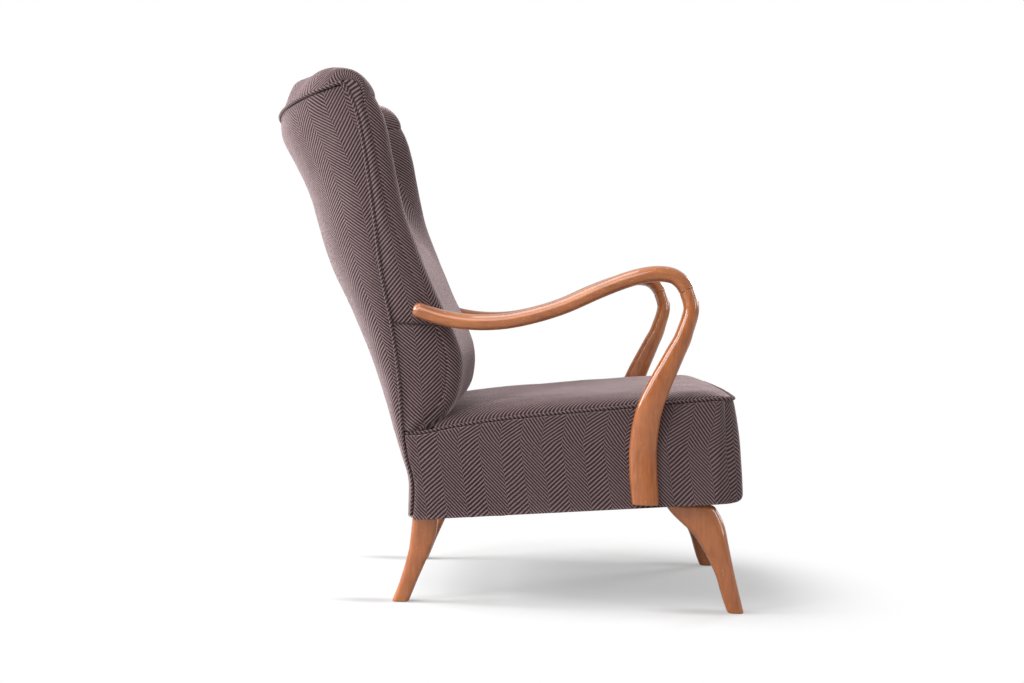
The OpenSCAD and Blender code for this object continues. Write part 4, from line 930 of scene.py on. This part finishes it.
across_q = [k / 30 for k in range(31)]
crest = crest_z(nose_end) - top_round
for side, hand in ((1, "left"), (-1, "right")):
    grid = []
    levels = [mix(wing_seam + 0.4, crest, k / 80) for k in range(81)]
    corner = [0.03 * k for k in range(1, 23)]
    for k, place in enumerate(levels + corner):
        row = []
        for q in across_q:
            if k < len(levels):
                p, up = side_row(place, place, 5, q, 1.2), place
            else:
                p, up = corner_row(place, q)
            fold = smooth((up - wing_seam) / 14)
            swell = 1.5 * ripple(0, p.y, p.z, 60, 31 + side) * 4 * q * (1 - q) * fold
            dip = 2.2 * (1 - fold)
            u = side * ((q - 1) * border_width(min(up, crest)) - apex_shift(up))
            row.append((placed((p.x + swell - dip, p.y, p.z), side),
                        placed((p.x - 7, p.y, p.z), side), (u * MM, cloth_v(up))))
        grid.append(row)
    wing = closed_pad("wing_border_panel_" + hand, grid)
    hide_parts("wing_border_" + hand)

    grid = []
    foot = low_z(nose_end) - 5
    for k in range(61):
        g = k / 60
        z = mix(foot, wing_seam - 0.4, g)
        rear_z = mix(seat_rear_h + 1.7 * channel, z, min(1, 2 * g))
        row = []
        for q in across_q:
            p = side_row(z, rear_z, 2.5, q, 1.8)
            fold = smooth((wing_seam - p.z) / 12)
            swell = (1.5 + 1.3 * ripple(0, p.y, p.z, 50, 41 + side)) * 4 * q * (1 - q) * fold
            row.append((placed((p.x + swell - 2.2 * (1 - fold), p.y, p.z), side),
                        placed((p.x - 7, p.y, p.z), side),
                        (side * (q - 1) * border_width(z) * MM, cloth_v(p.z))))
        grid.append(row)
    lumbar = closed_pad("lumbar_side_panel_" + hand, grid)
    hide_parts("lumbar_side_" + hand)


# Outside back
# One panel wraps round the rear from side seam to side seam, over the bent rails.
# It is stretched over a thin layer of padding, and its columns run from top to bottom.
grid = []
rear_columns = [c * nose_end for c in spread(120, 1.5)]
for k in range(111):
    s = k / 110 * (1 - channel / back_h)
    begin = math.degrees(math.asin(min(1, (channel - 1.5) / bow(s)) ** (1 / plan)))
    ring = [outside_point(s, mix(begin, 90, seam_angle(c) / 90)) for c in rear_columns]
    ring = [Vector((math.copysign(p.x, c), p.y, p.z)) for p, c in zip(ring, rear_columns)]
    half = run_lengths([tuple(p) for p in ring])
    row = []
    for p, c, run in zip(ring, rear_columns, half):
        edge = smooth((nose_end - abs(c)) * 5)
        swell = edge * (1.3 * ripple(p.x, p.y, p.z, 80, 51) + 0.5 * ripple(p.x, p.y, p.z, 26, 52))
        out = Vector((p.x / 300, 1, 0)).normalized()
        row.append((placed(p + out * swell), placed((p.x * 0.975, p.y - 5 * edge - 0.5, p.z)),
                    ((run - half[-1] / 2) * MM, s * back_h * MM * 1.05)))
    grid.append(row)
outside = closed_pad("outside_back_panel", grid)
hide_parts("outside_back_cover")


# Back piping
# The same bias-cut piping runs up each side seam and across the top seam in one length.
side_shares = [0.005 + 0.975 * k / 90 for k in range(91)]
half_line = [placed((half_w(s) + 1, seam_y(s), seam_z(s))) for s in side_shares]
seam_columns = [nose_end - k * nose_end / 60 for k in range(1, 61)]
half_line += [placed(top_seam(c) + seam_out(c)) for c in seam_columns]
path = even(half_line + [Vector((-p.x, p.y, p.z)) for p in reversed(half_line[:-1])])
for _ in range(2):
    path = [path[0]] + [(a + 2 * b + c) / 4 for a, b, c in zip(path, path[1:], path[2:])] + [path[-1]]
piping("back_piping_cord", path, 3.0 * MM, "back_piping")


# Buttons
# Three buttons covered in the same cloth, pulled into the back with twine through the stuffing.
small_cloth = herringbone("button_herringbone", 0.011, 0.0062)
for index, b in enumerate(button_cols):
    s = share_at(button_h)
    e = tuft_r / back_h
    tilt = math.atan((inside_y(s + e, 0) - inside_y(s - e, 0)) / (2 * tuft_r))
    at = placed((inside_x(s, b), inside_y(s, b) - 0.5, button_h))
    nothing_selected()
    bpy.ops.mesh.primitive_uv_sphere_add(segments=40, ring_count=20, radius=button_d / 2 * MM, location=at)
    button = bpy.context.object
    button.name = "covered_button_" + ("right", "middle", "left")[index]
    edit_whole()
    bpy.ops.transform.resize(value=(1, 1, 0.6))
    bpy.ops.object.mode_set(mode="OBJECT")
    for v in button.data.vertices:
        if v.co.z < -0.003:
            v.co.z = -0.003
    button.rotation_euler = (math.radians(90) - tilt, 0, 0)
    bpy.ops.object.transform_apply(location=True, rotation=True, scale=True)
    bpy.ops.object.shade_smooth()
    button.data.materials.append(small_cloth)
    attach(button, "root")
    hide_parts("back_buttons")


# Armrests and their supports
# Each open arm is two pieces of solid beech, shaped by hand and joined with a dowel at the bend.
# The armrest is bolted to the back post through the wing, the support to the seat rail through the boxing.
arm_path = ((0, 0, 0), (0.105, 0.107, -0.213), (0.212, 0.22, -0.298), (0.319, 0.333, -0.255),
            (0.428, 0.444, -0.085), (0.539, 0.556, 0.177), (0.675, 0.686, 0.596), (0.788, 0.797, 0.9),
            (0.871, 0.883, 1.03), (0.929, 0.949, 0.995), (0.97, 0.984, 0.82), (1, 1, 0.65))
arm_run = [(t, y) for t, y, z in arm_path]
arm_lift = [(t, z) for t, y, z in arm_path]
arm_splay = ((0, 0), (0.1, 0.05), (0.35, 0.45), (0.6, 0.85), (0.8, 1), (1, 1))
arm_width = ((0, 0.5), (0.008, 0.66), (0.03, 0.76), (0.2, 0.82), (0.5, 0.95), (0.75, 1), (0.9, 0.94),
             (1, 0.8))
arm_thick = ((0, 0.72), (0.008, 0.92), (0.03, 0.98), (0.06, 1), (1, 1))
arm_reach, arm_tip_h, arm_rise, arm_span, arm_t, arm_w = 477, 531, 70, 670, 28, 44
side_gap = 0.3
tip_s = share_at(arm_tip_h)
tip_y = seam_y(tip_s) - 0.42 * lumbar_depth
tip_x = half_w(tip_s) + 5 + side_gap + arm_w * curve_at(arm_width, 0.2) / 2
support_path = ((0, 0), (0.066, -0.13), (0.102, -0.127), (0.152, -0.06), (0.184, 0), (0.231, 0.08),
                (0.278, 0.21), (0.325, 0.33), (0.37, 0.45), (0.465, 0.69), (0.562, 0.88), (0.7, 0.99),
                (0.835, 0.98), (1, 0.89))
support_width = ((0, 0), (0.15, 0.03), (0.231, 0.15), (0.3, 0.31), (0.37, 0.45), (0.465, 0.64),
                 (0.562, 0.82), (0.7, 0.95), (0.9, 1), (1, 0.9))
support_w, support_t, support_foot_h, support_sweep = 50, 25, 194, 0.14


def arm_at(t):
    """Middle of the armrest, at share t of it from the wing to the joint."""
    return Vector((mix(tip_x, arm_span / 2, curve_at(arm_splay, t)),
                   tip_y - arm_reach * curve_at(arm_run, t), arm_tip_h + arm_rise * curve_at(arm_lift, t)))


def lean(way):
    """Turn about X that stands a level face square to a direction in the side view."""
    return math.atan2(-way.y, way.z)


def arm_ring(t, side, trim=1.0):
    way = arm_at(min(1, t + 0.01)) - arm_at(max(0, t - 0.01))
    return (placed(arm_at(t), side), lean(way), arm_w * curve_at(arm_width, t) * trim * MM,
            arm_t * curve_at(arm_thick, t) * trim * MM)


joint = arm_at(1)
joint_way = (arm_at(1) - arm_at(0.99)).normalized()
joint_way.x = 0
foot_x = seat_half(seat_depth * 0.277) + side_gap + support_t / 2


def support_at(t):
    """Middle of the support, at share t of it from the joint to its foot."""
    bend = (1 - t) ** 2 * (1 + 2 * t) * (1 - smooth((t - 0.5) * 3))
    y = joint.y + support_sweep * arm_reach * curve_at(support_path, t)
    return Vector((mix(foot_x, joint.x, bend), y, mix(joint.z, support_foot_h, t)))


def support_ring(t, side, trim=1.0):
    way = support_at(min(1, t + 0.01)) - support_at(max(0, t - 0.01))
    way.x = 0
    way = joint_way.lerp(way.normalized(), smooth(t * 8))
    way = way.lerp(Vector((0, 0, -1)), smooth((t - 0.7) * 4))
    return (placed(support_at(t), side), lean(way),
            mix(arm_w * curve_at(arm_width, 1), support_t, smooth(2 * t)) * trim * MM,
            mix(arm_t, support_w, curve_at(support_width, t)) * trim * MM)


arm_wood = show_wood("show_wood_level", (30, 5, 34), 0.02)
arm_places = [0.004, 0.01, 0.02, 0.035] + [0.055 + 0.94 * k / 44 for k in range(45)]
for side, hand in ((1, "left"), (-1, "right")):
    # A smaller ring just behind the first one rounds off the tip at the wing
    tip = arm_ring(0, side, 0.92)
    tip = (tip[0] + Vector((0, 0.0022, 0.0006)),) + tip[1:]
    rings = [tip, arm_ring(0, side, 1.03)] + [arm_ring(t, side) for t in arm_places]
    rings += [arm_ring(0.9992, side), arm_ring(1, side, 0.955)]
    arm = shaped_along("armrest_bar_" + hand, rings, corner=0.45)
    arm.data.materials.append(arm_wood)
    rounded_off(arm, "show_wood", "armrest_" + hand)
    rings = [support_ring(0, side, 0.955), support_ring(0.0012, side)]
    rings += [support_ring(0.004 + 0.988 * k / 46, side) for k in range(47)]
    rings += [support_ring(0.997, side, 0.985), support_ring(1, side, 0.94)]
    post = shaped_along("arm_support_bar_" + hand, rings, corner=0.44)
    post.data.materials.append(upright_wood)
    rounded_off(post, "show_wood", "arm_support_" + hand)


# Camera, floor and light
# The photograph looks at the chair's right side from a little over three metres, nearly level.
# White floor and surroundings carry the chair's soft shadow, and a streak of painted shadow behind each
# foot.
lens = bpy.data.cameras.new("side_camera")
lens.lens, lens.sensor_width = 57.83, 36
camera = in_scene("side_camera", lens)
right = Vector((0.02005, -0.99947, 0.02567))
up = Vector((0.02521, 0.02617, 0.99934))
eye = Vector((-3.215, 0.355 - (mid_y + 15) * MM, 0.5524))
aimed = Matrix((right, up, right.cross(up))).transposed().to_4x4()
camera.matrix_world = Matrix.Translation(eye) @ aimed
bpy.context.scene.camera = camera
bpy.context.scene.view_settings.view_transform = "Standard"

nothing_selected()
bpy.ops.mesh.primitive_plane_add(size=40, location=(0, 0, 0))
floor = bpy.context.object
floor.name = "studio_floor"
paper, shader, w = finish("floor_paper", Roughness=1.0, Specular_IOR_Level=0.0,
                          Base_Color=(0.52, 0.52, 0.52, 1))
output = paper.node_tree.nodes["Material Output"]
seen = w.node("ShaderNodeLightPath")
plain = Wire(paper.node_tree, shader.outputs[0])
glow = w.node("ShaderNodeEmission", {0: (1, 1, 1, 1), 1: 0.27})
lit = w.node("ShaderNodeAddShader", {0: plain, 1: glow})
white = w.node("ShaderNodeEmission", {0: (1, 1, 1, 1), 1: 1.0})
# Round the chair the paper fades to plain white
away = w.coords((0.95, 1, 1), shift=(0, 0.08, 0))
away = w.node("ShaderNodeVectorMath", {0: away}, out=1, operation="LENGTH").between(0.4, 0.72)
faded = w.node("ShaderNodeMixShader", {0: away, 1: lit, 2: white})
# Streaks of painted shadow run back from the four feet
streak_w, streak_l = 0.045, 0.13
painted_shadow_mask = 0.0
for side in (1, -1):
    for x, y in ((front_leg_x, toe_y + 35), (rear_foot_x + 2, heel_y)):
        centre = placed((x, y + 40, 0), side)
        near = w.coords((1 / streak_w, 1 / streak_l, 0),
                        shift=(-centre.x / streak_w, -centre.y / streak_l, 0))
        near = w.node("ShaderNodeVectorMath", {0: near}, out=1, operation="LENGTH").between(0.0, 1.0)
        painted_shadow_mask = (1.0 - near) * 0.5 + painted_shadow_mask
# The painted shadow: this grey is mixed into the paper, strongest just behind each foot
painted_shadow_grey = w.node("ShaderNodeEmission", {0: (0.4, 0.4, 0.4, 1), 1: 1.0})
faded = w.node("ShaderNodeMixShader", {0: painted_shadow_mask, 1: faded, 2: painted_shadow_grey})
# Only the camera sees the fade and the streaks: every other ray meets plain paper
both = w.node("ShaderNodeMixShader", {0: seen, 1: plain, 2: faded})
paper.node_tree.links.new(both.socket, output.inputs[0])
floor.data.materials.append(paper)

world = bpy.data.worlds.new("white_room")
bpy.context.scene.world = world
world.use_nodes = True
w = Wire(world.node_tree)
sky = world.node_tree.nodes["Background"]
# Seen directly the room is white, and it lights the chair more dimly so that the lamps can shape it
camera_ray, glossy_ray, through_ray = [w.node("ShaderNodeLightPath", out=k) for k in (0, 3, 6)]
strength = w.maths("MAXIMUM", w.maths("MAXIMUM", camera_ray, through_ray), glossy_ray * 0.5) * 0.64 + 0.36
world.node_tree.links.new(strength.socket, sky.inputs[1])
sky.inputs[0].default_value = (1, 1, 1, 1)


def softbox(name, place, aim, size, power):
    lamp = bpy.data.lights.new(name, "AREA")
    lamp.shape, lamp.size, lamp.size_y, lamp.energy = "RECTANGLE", size[0], size[1], power
    holder = in_scene(name, lamp)
    holder.location = place
    holder.rotation_euler = (Vector(aim) - Vector(place)).to_track_quat("-Z", "Y").to_euler()


softbox("overhead_box", (0.1, 1.2, 2.8), (0, -0.1, 0.4), (2.2, 2.0), 52)
softbox("rear_box", (-0.5, 3.0, 1.5), (0, 0.1, 0.6), (1.6, 1.8), 122)
softbox("camera_side_box", (-2.1, 2.1, 1.5), (-0.1, 0, 0.5), (0.9, 1.7), 36)
softbox("high_side_box", (-1.9, 0.6, 2.3), (-0.3, 0.1, 0.7), (1.5, 1.3), 23)
softbox("far_side_box", (2.2, -1.9, 1.3), (0, 0, 0.5), (0.8, 0.8), 24)
softbox("front_box", (0.8, -2.9, 1.2), (0, 0, 0.5), (1.0, 1.0), 18)
softbox("front_strip", (-1.4, -2.8, 0.9), (-0.3, 0, 0.4), (0.35, 1.2), 14)
